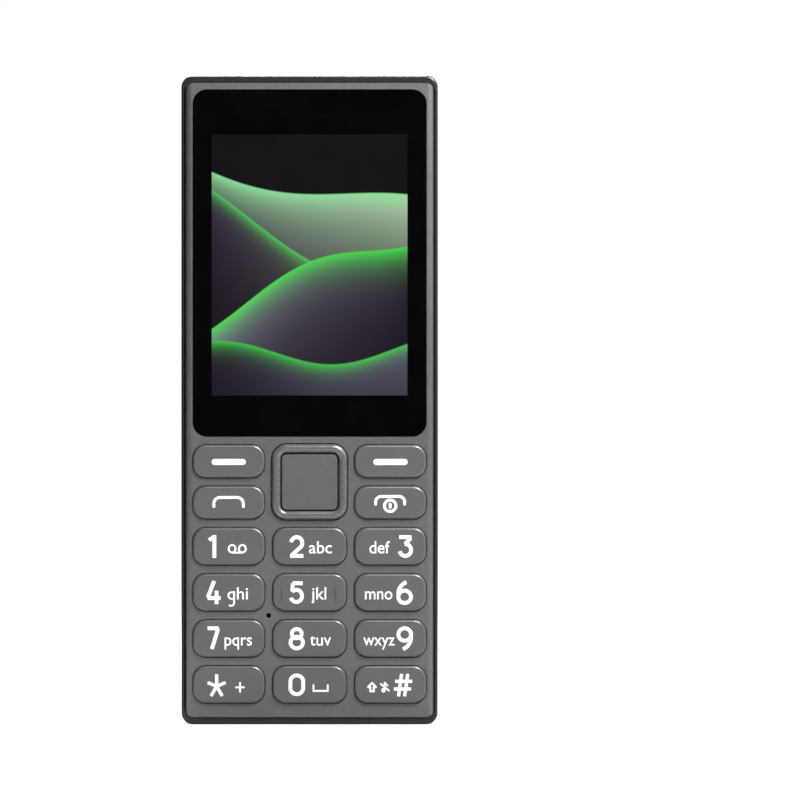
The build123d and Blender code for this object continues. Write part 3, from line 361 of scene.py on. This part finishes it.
# Centre lines of the strokes, in millimetres
markStrokes = {
    "0": [arc(0, 0.62, 1.13, 0, 180) + arc(0, -0.62, 1.13, 180, 360) + [(1.13, 0.62)]],
    "1": [[(-0.72, 1.22), (0.30, 1.80)], [(0.30, 2.14), (0.30, -2.13)]],
    "2": [arc(0, 0.66, 1.10, 172, -40) + [(-1.05, -1.68)], [(-1.30, -1.75), (1.30, -1.75)]],
    "3": [[(-1.20, 1.75), (1.10, 1.75)], [(1.02, 1.62), (-0.12, 0.40)],
          arc(-0.04, -0.64, 1.11, 96, -166, 28)],
    "4": [[(0.10, 2.15), (-1.30, -0.92)], [(-1.34, -1.02), (1.50, -1.02)], [(0.62, 0.35), (0.62, -2.15)]],
    "5": [[(1.20, 1.75), (-0.80, 1.75)], [(-0.74, 1.70), (-0.86, 0.22)],
          arc(-0.04, -0.62, 1.13, 138, -162, 30)],
    "6": [arc(0, -0.64, 1.16, 160, 520, 36), arc(1.20, -0.10, 2.36, 112, 180, 16)],
    "7": [[(-1.40, 1.75), (1.20, 1.75)], [(1.08, 1.68), (-0.40, -2.13)]],
    "8": [arc(0, 0.94, 0.86, -90, 270, 32), arc(0, -0.72, 1.08, 90, 450, 36)],
    "9": [arc(0, 0.64, 1.16, -20, 340, 36), arc(-1.20, 0.10, 2.36, -68, 0, 16)],
    "star": [[(0, 0), (2.25 * math.cos(math.radians(a)), 2.25 * math.sin(math.radians(a)))]
             for a in (90, 18, -54, 234, 162)],
    "hash": [[(-0.30, 2.10), (-0.98, -2.10)], [(1.02, 2.10), (0.34, -2.10)],
             [(-1.70, 0.72), (2.00, 0.72)], [(-1.97, -0.72), (1.73, -0.72)]],
    "dash": [[(-2.66, 0), (2.66, 0)]],
    "call": [[(-2.70, -0.85), (-2.70, -0.30)] + arc(-1.55, -0.30, 1.15, 180, 90, 10)[1:]
             + arc(1.55, -0.30, 1.15, 90, 0, 10) + [(2.70, -0.85)]],
    "end": [[(-2.66, -0.32), (-2.66, 0.12)] + arc(-1.66, 0.12, 1.00, 180, 90, 10)[1:]
            + arc(1.66, 0.12, 1.00, 90, 0, 10) + [(2.66, -0.32)],
            arc(0, -0.62, 1.06, -90, 270, 36), [(0, -0.36), (0, -0.88)]],
    "plus": [[(-0.88, 0), (0.88, 0)], [(0, 0.85), (0, -0.85)]],
    "tape": [arc(-1.05, 0, 0.70, -90, 270, 28), arc(1.05, 0, 0.70, -90, 270, 28),
             [(-1.05, -0.72), (1.05, -0.72)]],
    "space": [[(-1.35, 0.55), (-1.35, -0.55)], [(-1.35, -0.52), (1.35, -0.52)],
              [(1.35, -0.55), (1.35, 0.55)]],
    "shift": [[(-0.78, 0.02), (0, 0.80)], [(0, 0.80), (0.78, 0.02)], [(-0.78, 0.0), (-0.30, 0.0)],
              [(0.78, 0.0), (0.30, 0.0)], [(-0.34, 0.0), (-0.34, -0.80)], [(0.34, 0.0), (0.34, -0.80)],
              [(-0.34, -0.78), (0.34, -0.78)]],
    "mute": [arc(-0.28, -0.55, 0.26, 0, 360, 16), [(-0.02, -0.5), (-0.02, 0.85)],
             [(0.0, 0.80), (0.55, 0.35)], [(-0.85, 0.62), (0.85, -0.62)]],
}
squareEnded = "0 1 2 3 4 5 6 7 8 9 star hash".split()

# Each key's marks: the name or word, the middle of its box across and above the key's middle, its width
keyLegends = {
    "soft_key_left": [("dash", 0.0, -0.11, 6.40)],
    "soft_key_right": [("dash", 0.0, -0.11, 6.40)],
    "call_key": [("call", -0.04, 0.12, 6.03)],
    "end_key": [("end", -0.05, -0.25, 5.93)],
    "key_1": [("1", -3.20, 0.0, 1.70), ("tape", 1.57, -0.43, 3.52)],
    "key_2": [("2", -2.40, 0.0, 3.15), ("abc", 2.02, 0, 4.29)],
    "key_3": [("def", -2.01, 0, 3.82), ("3", 2.77, 0.0, 2.94)],
    "key_4": [("4", -2.75, 0.0, 3.13), ("ghi", 1.67, 0, 3.82)],
    "key_5": [("5", -2.40, 0.0, 2.88), ("jkl", 1.71, 0, 2.79)],
    "key_6": [("mno", -2.20, 0, 5.12), ("6", 2.65, 0.0, 3.06)],
    "key_7": [("7", -2.93, 0.0, 2.77), ("pqrs", 1.77, 0, 5.12)],
    "key_8": [("8", -2.41, 0.0, 3.01), ("tuv", 2.04, 0, 3.94)],
    "key_9": [("wxyz", -2.14, 0, 5.86), ("9", 2.67, 0.0, 3.06)],
    "key_star": [("star", -2.27, -0.07, 3.97), ("plus", 2.10, -0.49, 1.80)],
    "key_0": [("0", -2.40, 0.0, 3.10), ("space", 2.05, -0.63, 3.01)],
    "key_hash": [("shift", -3.44, -0.45, 1.80), ("mute", -1.05, -0.45, 1.85), ("hash", 2.36, -0.07, 4.01)],
}


def penWidth(mark):
    if mark in ("hash", "star"):
        return legend["hashStroke"]
    if mark in squareEnded:
        return legend["digitStroke"]
    if mark in ("call", "end"):
        return legend["iconStroke"]
    return legend["dashStroke"] if mark == "dash" else legend["smallStroke"]


def smoothRuns(points):
    # cuts a centre line where it turns sharply, so that each run's sides stay clean
    runs, run = [], [Vector(points[0])]
    for before, point, after in zip(points, points[1:], points[2:]):
        run.append(Vector(point))
        turn = (Vector(point) - Vector(before)).angle(Vector(after) - Vector(point), 0)
        if math.degrees(turn) > legend["sharpTurn"]:
            runs.append(run)
            run = [Vector(point)]
    run.append(Vector(points[-1]))
    return runs + [run]


def strokeOutline(path, width, roundEnd):
    # the two sides of a stroke, with half rounds at its ends when they are round
    closed = len(path) > 3 and (path[0] - path[-1]).length < 1e-4
    if closed:
        path = path[:-1]
    count = len(path)
    sides = ([], [])
    for i, point in enumerate(path):
        before = path[i - 1] if i or closed else None
        after = path[(i + 1) % count] if i < count - 1 or closed else None
        into = (point - before).normalized() if before else (after - point).normalized()
        out = (after - point).normalized() if after else into
        along = (into + out).normalized()
        reach = width / 2 / along.dot(into)
        normal = Vector((-along.y, along.x)) * reach
        sides[0].append(point + normal)
        sides[1].append(point - normal)
    caps = ([], [])
    if roundEnd and not closed:
        for cap, centre, edge in ((caps[0], path[0], sides[0][0]), (caps[1], path[-1], sides[1][-1])):
            spoke = edge - centre
            for k in range(1, legend["capSteps"]):
                a = math.pi * k / legend["capSteps"]
                cap.append(centre + Vector((spoke.x * math.cos(a) - spoke.y * math.sin(a),
                                            spoke.x * math.sin(a) + spoke.y * math.cos(a))))
    return sides, caps, closed


def facing(centre=(0, 0)):
    # takes a point of a flat drawing about this centre, and its place along Y, into the scene
    return lambda point, depth: ((centre[0] + point.x) * mm, depth * mm, (centre[1] + point.y) * mm)


def addStroke(mesh, path, width, roundEnd, roof, floor, place):
    # one flat solid stroke; roof and floor are its two faces' places along Y
    (left, right), (startCap, endCap), closed = strokeOutline(path, width, roundEnd)
    count = len(left)

    def layer(depth):
        return [[mesh.verts.new(place(p, depth)) for p in part] for part in (left, right, startCap, endCap)]

    top, low = layer(roof), layer(floor)
    pairs = [(i, (i + 1) % count) for i in range(count if closed else count - 1)]
    for (a, b, start, end), turned in ((top, False), (low, True)):
        faces = [[a[i], a[j], b[j], b[i]] for i, j in pairs]
        if startCap:
            faces += [[b[0], a[0]] + start, [a[-1], b[-1]] + end]
        for face in faces:
            mesh.faces.new(face[::-1] if turned else face)

    def rims(parts):
        a, b, start, end = parts
        if closed:
            return [a, b]
        return [a + end[::-1] + b[::-1] + start[::-1]]

    for upper, lower in zip(rims(top), rims(low)):
        for i in range(len(upper)):
            j = (i + 1) % len(upper)
            mesh.faces.new((upper[i], lower[i], lower[j], upper[j]))


def addWord(mesh, word, roof, floor, centre, width):
    curve = bpy.data.curves.new("letters", "FONT")
    curve.body = word.replace("g", "q")       # the font's g has two bowls, a keypad's has a hook
    curve.size = legend["letterSize"]
    curve.offset = legend["letterBold"]
    curve.extrude = (floor - roof) / 2
    curve.resolution_u = legend["letterSteps"]
    words = bpy.data.objects.new("letters", curve)
    bpy.context.scene.collection.objects.link(words)
    bpy.context.view_layer.update()
    flat = bpy.data.meshes.new_from_object(words.evaluated_get(bpy.context.evaluated_depsgraph_get()))
    xs = [v.co.x for v in flat.vertices]
    middle = (min(xs) + max(xs)) / 2
    stretch = width / (max(xs) - min(xs))
    for v in flat.vertices:
        x, y, z = v.co
        v.co = ((centre[0] + (x - middle) * stretch) * mm, ((roof + floor) / 2 - z) * mm,
                (centre[1] + legend["letterRise"] + y) * mm)
    mesh.from_mesh(flat)
    if "g" in word:
        baseline = centre[1] + legend["letterRise"]
        tail = [v.co for v in flat.vertices if v.co.z / mm - baseline < -legend["tailBelow"]]
        stemLeft, stemRight = min(c.x for c in tail) / mm, max(c.x for c in tail) / mm
        foot = min(c.z for c in tail) / mm + legend["hookOverlap"]
        radius = legend["hookRadius"]
        hook = arc((stemLeft + stemRight) / 2 - radius, foot, radius, 0, legend["hookTurn"], 10)
        addStroke(mesh, [Vector(p) for p in hook], stemRight - stemLeft, True,
                  roof - legend["layerStep"], floor, facing())
    bpy.data.objects.remove(words)
    bpy.data.meshes.remove(flat)


def addMark(mesh, mark, roof, floor, centre, width):
    strokes = [[Vector(p) for p in line] for line in markStrokes[mark]]
    pen = penWidth(mark)
    xs = [p.x for line in strokes for p in line]
    ys = [p.y for line in strokes for p in line]
    stretch = (width - pen) / (max(xs) - min(xs))
    middle = Vector(((min(xs) + max(xs)) / 2, (min(ys) + max(ys)) / 2))
    layer = 0
    for line in strokes:
        moved = [Vector(((p.x - middle.x) * stretch, p.y - middle.y)) for p in line]
        for run in smoothRuns(moved):
            addStroke(mesh, run, pen, mark not in squareEnded,
                      roof - layer * legend["layerStep"], floor, facing(centre))
            layer += 1


def keyInk():
    # screen-printed epoxy ink: flat white, slightly chalky, a hair uneven
    material, tree, shader, coords = startMaterial("screenPrintedWhiteInk", {"IOR": 1.5})
    grain = noise(tree, coords, 0.15)
    addGrain(tree, shader, grain, hexToLinear("#f0f0f0"), hexToLinear("#ffffff"), 0.45, 0.6)
    addBump(tree, shader, grain, 0.002, 0.5)
    return material


def joinInto(mesh, part):
    # moves one piece's faces into another's mesh
    data = bpy.data.meshes.new("part")
    part.to_mesh(data)
    part.free()
    mesh.from_mesh(data)
    bpy.data.meshes.remove(data)


def finishPiece(mesh, name, material, body, smooth=False, replaced=()):
    bmesh.ops.recalc_face_normals(mesh, faces=mesh.faces)
    data = bpy.data.meshes.new(name)
    mesh.to_mesh(data)
    mesh.free()
    data.materials.append(material)
    for polygon in data.polygons:
        polygon.use_smooth = smooth
    piece = bpy.data.objects.new(name, data)
    bpy.context.scene.collection.objects.link(piece)
    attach(piece, body)
    if replaced:
        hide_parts(*replaced)


whiteInk = keyInk()
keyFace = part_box("key_1")[0].y / mm
for keyName, marks in keyLegends.items():
    low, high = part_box(keyName)
    # the key's flange is as wide as the key all round, so the box's middle is the key's middle
    keyMiddle = ((low.x + high.x) / 2 / mm, (low.z + high.z) / 2 / mm)
    mesh = bmesh.new()
    for mark, across, above, width in marks:
        draw = addMark if mark in markStrokes else addWord
        draw(mesh, mark, keyFace - legend["ink"], keyFace + legend["sunk"],
             (keyMiddle[0] + across, keyMiddle[1] + above), width)
    finishPiece(mesh, "legend_" + keyName, whiteInk, keyName)
print("legends on", len(keyLegends), "keys")


# Battery: its two pole marks, printed beside the contacts

poles = {
    "height": 69.0,             # all in millimetres
    "across": 4.2,
    "arm": 1.3,
    "pen": 0.5,
    "plus": ((1, 0), (0, 1)),   # the directions of its arms
    "minus": ((1, 0),),
}
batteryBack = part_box("battery")[1].y / mm
poleMarks = bmesh.new()
for side, arms in ((-1, poles["plus"]), (1, poles["minus"])):
    middle = Vector((side * poles["across"], poles["height"]))
    for layer, direction in enumerate(arms):
        reach = Vector(direction) * poles["arm"]
        addStroke(poleMarks, [middle - reach, middle + reach], poles["pen"], False,
                  batteryBack + legend["ink"] + layer * legend["layerStep"],
                  batteryBack - legend["sunk"], facing())
finishPiece(poleMarks, "battery_pole_marks", whiteInk, "battery")
print("battery marks")


# Rings and rows that repeat: two small geometry node groups, made into plain meshes

def startGroup(name, sockets):
    # each socket is (name, type)
    group = bpy.data.node_groups.new(name, "GeometryNodeTree")
    group.interface.new_socket("Geometry", in_out="OUTPUT", socket_type="NodeSocketGeometry")
    for label, kind in sockets:
        group.interface.new_socket(label, in_out="INPUT", socket_type="NodeSocket" + kind)
    return group, addNode(group, "NodeGroupInput").outputs


def concentricRings():
    # ridges of one thickness about an axis along Y, each wider than the last by the pitch
    group, given = startGroup("concentricRings", [
        ("Rings", "Int"), ("First radius", "Float"), ("Pitch", "Float"), ("Ridge", "Float"),
        ("Centre", "Vector"), ("Finish", "Material")])
    points = addNode(group, "GeometryNodePoints", {"Count": given["Rings"]})
    index = addNode(group, "GeometryNodeInputIndex").outputs[0]
    radius = maths(group, "ADD", maths(group, "MULTIPLY", index, given["Pitch"]), given["First radius"])
    circle = addNode(group, "GeometryNodeCurvePrimitiveCircle", {"Resolution": 72, "Radius": 1.0})
    rings = addNode(group, "GeometryNodeInstanceOnPoints", {
        "Points": points.outputs[0], "Instance": circle.outputs[0], "Scale": radius})
    real = addNode(group, "GeometryNodeRealizeInstances", {"Geometry": rings.outputs[0]})
    profile = addNode(group, "GeometryNodeCurvePrimitiveCircle", {"Resolution": 8, "Radius": given["Ridge"]})
    tubes = addNode(group, "GeometryNodeCurveToMesh", {
        "Curve": real.outputs[0], "Profile Curve": profile.outputs[0]})
    placed = addNode(group, "GeometryNodeTransform", {
        "Geometry": tubes.outputs[0], "Rotation": (math.pi / 2, 0, 0), "Translation": given["Centre"]})
    coloured = addNode(group, "GeometryNodeSetMaterial", {
        "Geometry": placed.outputs[0], "Material": given["Finish"]})
    addNode(group, "NodeGroupOutput", {0: coloured.outputs[0]})
    return group


def rowOfBars():
    # equal bars in a row along X
    group, given = startGroup("rowOfBars", [
        ("Bars", "Int"), ("First", "Vector"), ("Step", "Vector"), ("Bar size", "Vector"),
        ("Finish", "Material")])
    line = addNode(group, "GeometryNodeMeshLine", {
        "Count": given["Bars"], "Start Location": given["First"], "Offset": given["Step"]})
    bar = addNode(group, "GeometryNodeMeshCube", {"Size": given["Bar size"]})
    bars = addNode(group, "GeometryNodeInstanceOnPoints", {
        "Points": line.outputs[0], "Instance": bar.outputs[0]})
    real = addNode(group, "GeometryNodeRealizeInstances", {"Geometry": bars.outputs[0]})
    coloured = addNode(group, "GeometryNodeSetMaterial", {
        "Geometry": real.outputs[0], "Material": given["Finish"]})
    addNode(group, "NodeGroupOutput", {0: coloured.outputs[0]})
    return group


def groupMesh(group, values):
    # runs a group once and returns what it makes as a bmesh
    carrier = bpy.data.objects.new("carrier", bpy.data.meshes.new("carrier"))
    bpy.context.scene.collection.objects.link(carrier)
    modifier = carrier.modifiers.new("repeat", "NODES")
    modifier.node_group = group
    for item in group.interface.items_tree:
        if item.in_out == "INPUT":
            modifier[item.identifier] = values[item.name]
    bpy.context.view_layer.update()
    made = bpy.data.meshes.new_from_object(carrier.evaluated_get(bpy.context.evaluated_depsgraph_get()))
    carrier.modifiers.remove(modifier)
    bpy.data.objects.remove(carrier)
    mesh = bmesh.new()
    mesh.from_mesh(made)
    bpy.data.meshes.remove(made)
    for face in mesh.faces:
        face.material_index = 0
    return mesh


def latheAboutY(profile, centre, steps=96):
    # profile: (radius, depth) from the middle of the face outwards and back in, in millimetres
    mesh = bmesh.new()
    rows = []
    for radius, depth in profile:
        count = 1 if radius == 0 else steps
        rows.append([mesh.verts.new((
            (centre[0] + radius * math.cos(2 * math.pi * k / steps)) * mm, depth * mm,
            (centre[1] + radius * math.sin(2 * math.pi * k / steps)) * mm)) for k in range(count)])
    for a, b in zip(rows, rows[1:]):
        for k in range(steps):
            n = (k + 1) % steps
            corners = [a[k % len(a)], a[n % len(a)], b[n % len(b)], b[k % len(b)]]
            mesh.faces.new(list(dict.fromkeys(corners)))
    return mesh


ringGroup = concentricRings()
barGroup = rowOfBars()


def addRings(name, finish, middle, depth, rings, firstRadius, pitch, ridge):
    # a piece of concentric ridges on the island, all sizes in millimetres
    ridges = groupMesh(ringGroup, {
        "Rings": rings, "First radius": firstRadius * mm, "Pitch": pitch * mm, "Ridge": ridge * mm,
        "Centre": (middle[0] * mm, depth * mm, middle[1] * mm), "Finish": finish})
    finishPiece(ridges, name, finish, "housing", True)


# Torch: a stepped light-spreading lens in the island's glass, with a bright button in its middle

torch = {
    "centre": (0, island["torch"]),     # all in millimetres
    "face": 7.35,
    "back": 5.95,
    "radius": 2.0,
    "step": 0.06,
    "button": 0.42,
    "buttonRise": 0.10,
    "buttonShares": ((0, 1), (0.6, 0.85), (0.9, 0.4), (1, 0)),
    "groove": 0.08,
    "rings": 5,
    "firstRing": 0.66,
    "pitch": 0.29,
    "ridge": 0.075,
    "ridgeSunk": 0.05,
    "halo": 3.45,                       # faint printed line
    "haloPen": 0.035,
    "haloSunk": 0.01,
}


def frostedLens(name, colour, roughness):
    # frosted acrylic over the phosphor: pale, cloudy and slightly translucent
    material, tree, shader, coords = startMaterial(name, {
        "IOR": 1.49, "Subsurface Weight": 0.15, "Subsurface Scale": 0.6 * mm})
    cloud = noise(tree, coords, 0.35, 3.0)
    linear = hexToLinear(colour)
    addGrain(tree, shader, cloud, toned(linear, 0.85), linear, roughness - 0.05, roughness + 0.08)
    addBump(tree, shader, cloud, 0.004, 0.6)
    return material


torchLow = torch["face"] - torch["step"]
lensShape = [(torch["button"] * out, torch["face"] + torch["buttonRise"] * up)
             for out, up in torch["buttonShares"]]
lensShape += [(torch["button"] + torch["groove"], torchLow), (torch["radius"] - torch["step"], torchLow),
              (torch["radius"], torch["face"]), (torch["radius"], torch["back"]), (0, torch["back"])]
finishPiece(latheAboutY(lensShape, torch["centre"]), "torch_stepped_lens",
            frostedLens("frostedTorchLens", "#8a8a86", 0.25), "housing", True, ["torch_lens"])
# painted shade: the ridges are a darker copy of the lens's own frosted finish, standing in for the dark rings
# of a stepped lens
addRings("torch_lens_ridges", frostedLens("frostedRidgesPaintedShade", "#3c3c3a", 0.2),
         torch["centre"], torch["face"] - torch["ridgeSunk"], torch["rings"], torch["firstRing"],
         torch["pitch"], torch["ridge"])
addRings("torch_halo_line", mouldedPlastic("greyPrintedLine", "#2c2c2e", 0.5),
         torch["centre"], torch["face"] - torch["haloSunk"], 1, torch["halo"], 0, torch["haloPen"])
print("torch lens")


# Island pins: two small locating pins, left and right of the torch

pin = {
    "radius": 0.26,             # all in millimetres
    "top": 0.16,
    "rise": 0.03,
    "sunk": 0.1,
    "across": 9.2,
    "steps": 24,
}
pinTop, pinRoot = torch["face"] + pin["rise"], torch["face"] - pin["sunk"]
pinShape = [(0, pinTop), (pin["top"], pinTop), (pin["radius"], torch["face"]), (pin["radius"], pinRoot),
            (0, pinRoot)]
pins = bmesh.new()
for side in (-1, 1):
    joinInto(pins, latheAboutY(pinShape, (side * pin["across"], island["pins"]), pin["steps"]))
finishPiece(pins, "island_pins", mouldedPlastic("greyLocatingPins", "#5c5c5c", 0.4), "housing",
            True)
print("island pins")


# Camera: a small coated front element among black baffle steps, behind the ring's opening

eye = {
    "centre": (0, island["lens"]),      # all in millimetres
    "seat": 7.25,
    "radius": 1.05,
    "rise": 0.17,
    "edge": 0.01,
    "sunk": 0.1,
    "domeSteps": 10,
    "baffles": 4,
    "firstBaffle": 1.28,
    "pitch": 0.30,
    "ridge": 0.07,
}


def coatedElement():
    # multi-coated glass: almost black, with a painted violet-blue sheen towards its rim, the coating's
    # reflection painted into its colour where it is seen edge-on
    material, tree, shader, coords = startMaterial("coatedFrontElement", {
        "Roughness": 0.02, "IOR": 1.6, "Coat Weight": 1.0, "Coat Roughness": 0.01, "Coat IOR": 1.9})
    facingShare = addNode(tree, "ShaderNodeLayerWeight", {"Blend": 0.35}).outputs["Facing"]
    # painted reflection: the base colour turns violet-blue where the element is seen edge-on
    paintedSheenTint = mixColour(tree, facingShare, hexToLinear("#07080d"), hexToLinear("#2c2a52"))
    haze = greyLevel(tree, spread(tree, noise(tree, coords, 0.8), 0.94, 1.0))
    tree.links.new(mixColour(tree, 1.0, paintedSheenTint, haze, "MULTIPLY"), shader.inputs["Base Color"])
    return material


domeAngles = [math.pi / 2 * k / eye["domeSteps"] for k in range(eye["domeSteps"] + 1)]
domeShape = [(eye["radius"] * math.sin(a), eye["seat"] + eye["edge"] + eye["rise"] * math.cos(a))
             for a in domeAngles]
domeShape += [(eye["radius"], eye["seat"] - eye["sunk"]), (0, eye["seat"] - eye["sunk"])]
finishPiece(latheAboutY(domeShape, eye["centre"]), "camera_front_element", coatedElement(), "housing",
            True)
addRings("camera_baffle_steps", mouldedPlastic("blackBaffle", "#0d0d0f", 0.45),
         eye["centre"], eye["seat"], eye["baffles"], eye["firstBaffle"], eye["pitch"], eye["ridge"])
print("camera eye")


# Port: contact fingers on both faces of the tongue

port = {
    "fingers": 12,              # all in millimetres
    "pitch": 0.5,
    "size": (0.27, 0.05, 3.4),
    "middle": 4.0,
    "faces": (-0.79, -0.05),
    "bevel": 0.018,
}
firstFinger = -port["pitch"] * (port["fingers"] - 1) / 2
fingers = bmesh.new()
for depth in port["faces"]:
    row = groupMesh(barGroup, {
        "Bars": port["fingers"], "First": (firstFinger * mm, depth * mm, port["middle"] * mm),
        "Step": (port["pitch"] * mm, 0, 0), "Bar size": [size * mm for size in port["size"]],
        "Finish": finishes["gold"]})
    bmesh.ops.bevel(row, geom=row.edges, offset=port["bevel"] * mm, segments=2, affect="EDGES")
    joinInto(fingers, row)
finishPiece(fingers, "port_contact_fingers", finishes["gold"], "housing", True)
print("port contacts")


# Floor, backdrop, lights and camera

studio = {
    "phoneCentre": 60.7 * mm,
    "cameraDistance": 0.9,
    "lens": 215.0,
    "sensorWidth": 36.0,
    "shiftX": 0.113,
    "floorSize": 6.0,
    "floorTone": 0.35,
    "floorDrop": 0.05 * mm,     # keeps the floor off the phone's own lower face
    "floorGlow": 0.80,          # the floor's white under the phone
    "glowFrom": 0.06,           # and the distances over which it rises to full white
    "glowTo": 0.30,
    "glossShare": 0.12,         # how much of the white background the phone's gloss shows
    "skyLow": "#0a0a0b",
    "skyHigh": "#4c4c50",
    "skyFrom": -0.5,            # heights in the sky between which the one tone turns into the other
    "skyTo": 0.9,
}


def backgroundShare(tree):
    # the white background is there for the camera and through glass, and partly in the gloss
    path = addNode(tree, "ShaderNodeLightPath").outputs
    gloss = maths(tree, "MULTIPLY", path["Is Glossy Ray"], studio["glossShare"])
    return maths(tree, "MAXIMUM", path["Is Camera Ray"],
                 maths(tree, "MAXIMUM", path["Is Transmission Ray"], gloss))


def studioFloor():
    # pale paper floor: white to the camera, with the phone's own soft shadow left on it
    material = bpy.data.materials.new("paleStudioFloor")
    tree = emptyTree(material)
    # the glow rises to full white away from the phone, where the lamps no longer reach
    coords = addNode(tree, "ShaderNodeTexCoord").outputs["Object"]
    distance = addNode(tree, "ShaderNodeVectorMath", {0: coords}, operation="LENGTH").outputs["Value"]
    level = addNode(tree, "ShaderNodeMapRange", {
        "Value": distance, "From Min": studio["glowFrom"], "From Max": studio["glowTo"],
        "To Min": studio["floorGlow"], "To Max": 1.0}, interpolation_type="SMOOTHSTEP").outputs[0]
    glow = addNode(tree, "ShaderNodeEmission", {
        "Strength": maths(tree, "MULTIPLY", backgroundShare(tree), level)})
    matt = addNode(tree, "ShaderNodeBsdfDiffuse", {"Color": [studio["floorTone"]] * 3 + [1]})
    both = addNode(tree, "ShaderNodeAddShader", {0: glow.outputs[0], 1: matt.outputs[0]})
    addNode(tree, "ShaderNodeOutputMaterial", {"Surface": both.outputs[0]})
    return material


def studioSky():
    # a soft grey dome that gets lighter upwards, and the white backdrop behind the phone
    world = bpy.data.worlds.new("softStudio")
    tree = emptyTree(world)
    direction = addNode(tree, "ShaderNodeTexCoord").outputs["Generated"]
    height = addNode(tree, "ShaderNodeSeparateXYZ", {"Vector": direction}).outputs[2]
    climb = addNode(tree, "ShaderNodeMapRange", {
        "Value": height, "From Min": studio["skyFrom"], "From Max": studio["skyTo"]}).outputs[0]
    dome = mixColour(tree, climb, hexToLinear(studio["skyLow"]), hexToLinear(studio["skyHigh"]))
    colour = mixColour(tree, backgroundShare(tree), dome, (1, 1, 1, 1))
    background = addNode(tree, "ShaderNodeBackground", {"Color": colour, "Strength": 1.0})
    addNode(tree, "ShaderNodeOutputWorld", {"Surface": background.outputs[0]})
    return world


half = studio["floorSize"] / 2
floorMesh = bmesh.new()
corners = [floorMesh.verts.new((x * half, y * half, -studio["floorDrop"]))
           for x, y in ((-1, -1), (1, -1), (1, 1), (-1, 1))]
floorMesh.faces.new(corners)
floorData = bpy.data.meshes.new("studio_floor")
floorMesh.to_mesh(floorData)
floorMesh.free()
floorData.materials.append(studioFloor())
floor = bpy.data.objects.new("studio_floor", floorData)
bpy.context.scene.collection.objects.link(floor)
bpy.context.scene.world = studioSky()

# name, place, watts and size, all aimed at the phone's middle
lamps = [
    ("key_softbox", (0.14, -0.21, 0.30), 2.5, 0.11),
    ("side_fill", (0.5, -0.16, 0.25), 0.5, 0.3),
    ("rear_softbox", (-0.05, 0.22, 0.42), 6.0, 0.2),
    ("rear_fill", (0.8, 0.7, 0.4), 1.6, 0.6),
]
for lampName, place, watts, size in lamps:
    lampData = bpy.data.lights.new(lampName, "AREA")
    lampData.energy = watts
    lampData.size = size
    lamp = bpy.data.objects.new(lampName, lampData)
    bpy.context.scene.collection.objects.link(lamp)
    lamp.location = place
    aim = Vector((0, 0, studio["phoneCentre"])) - Vector(place)
    lamp.rotation_euler = aim.to_track_quat("-Z", "Y").to_euler()

cameraData = bpy.data.cameras.new("photoCamera")
cameraData.lens = studio["lens"]
cameraData.sensor_width = studio["sensorWidth"]
cameraData.shift_x = studio["shiftX"]
camera = bpy.data.objects.new("photoCamera", cameraData)
bpy.context.scene.collection.objects.link(camera)
camera.location = (0, -studio["cameraDistance"], studio["phoneCentre"])
camera.rotation_euler = (math.pi / 2, 0, 0)
bpy.context.scene.camera = camera
bpy.context.scene.view_settings.view_transform = "Standard"
print("studio ready")
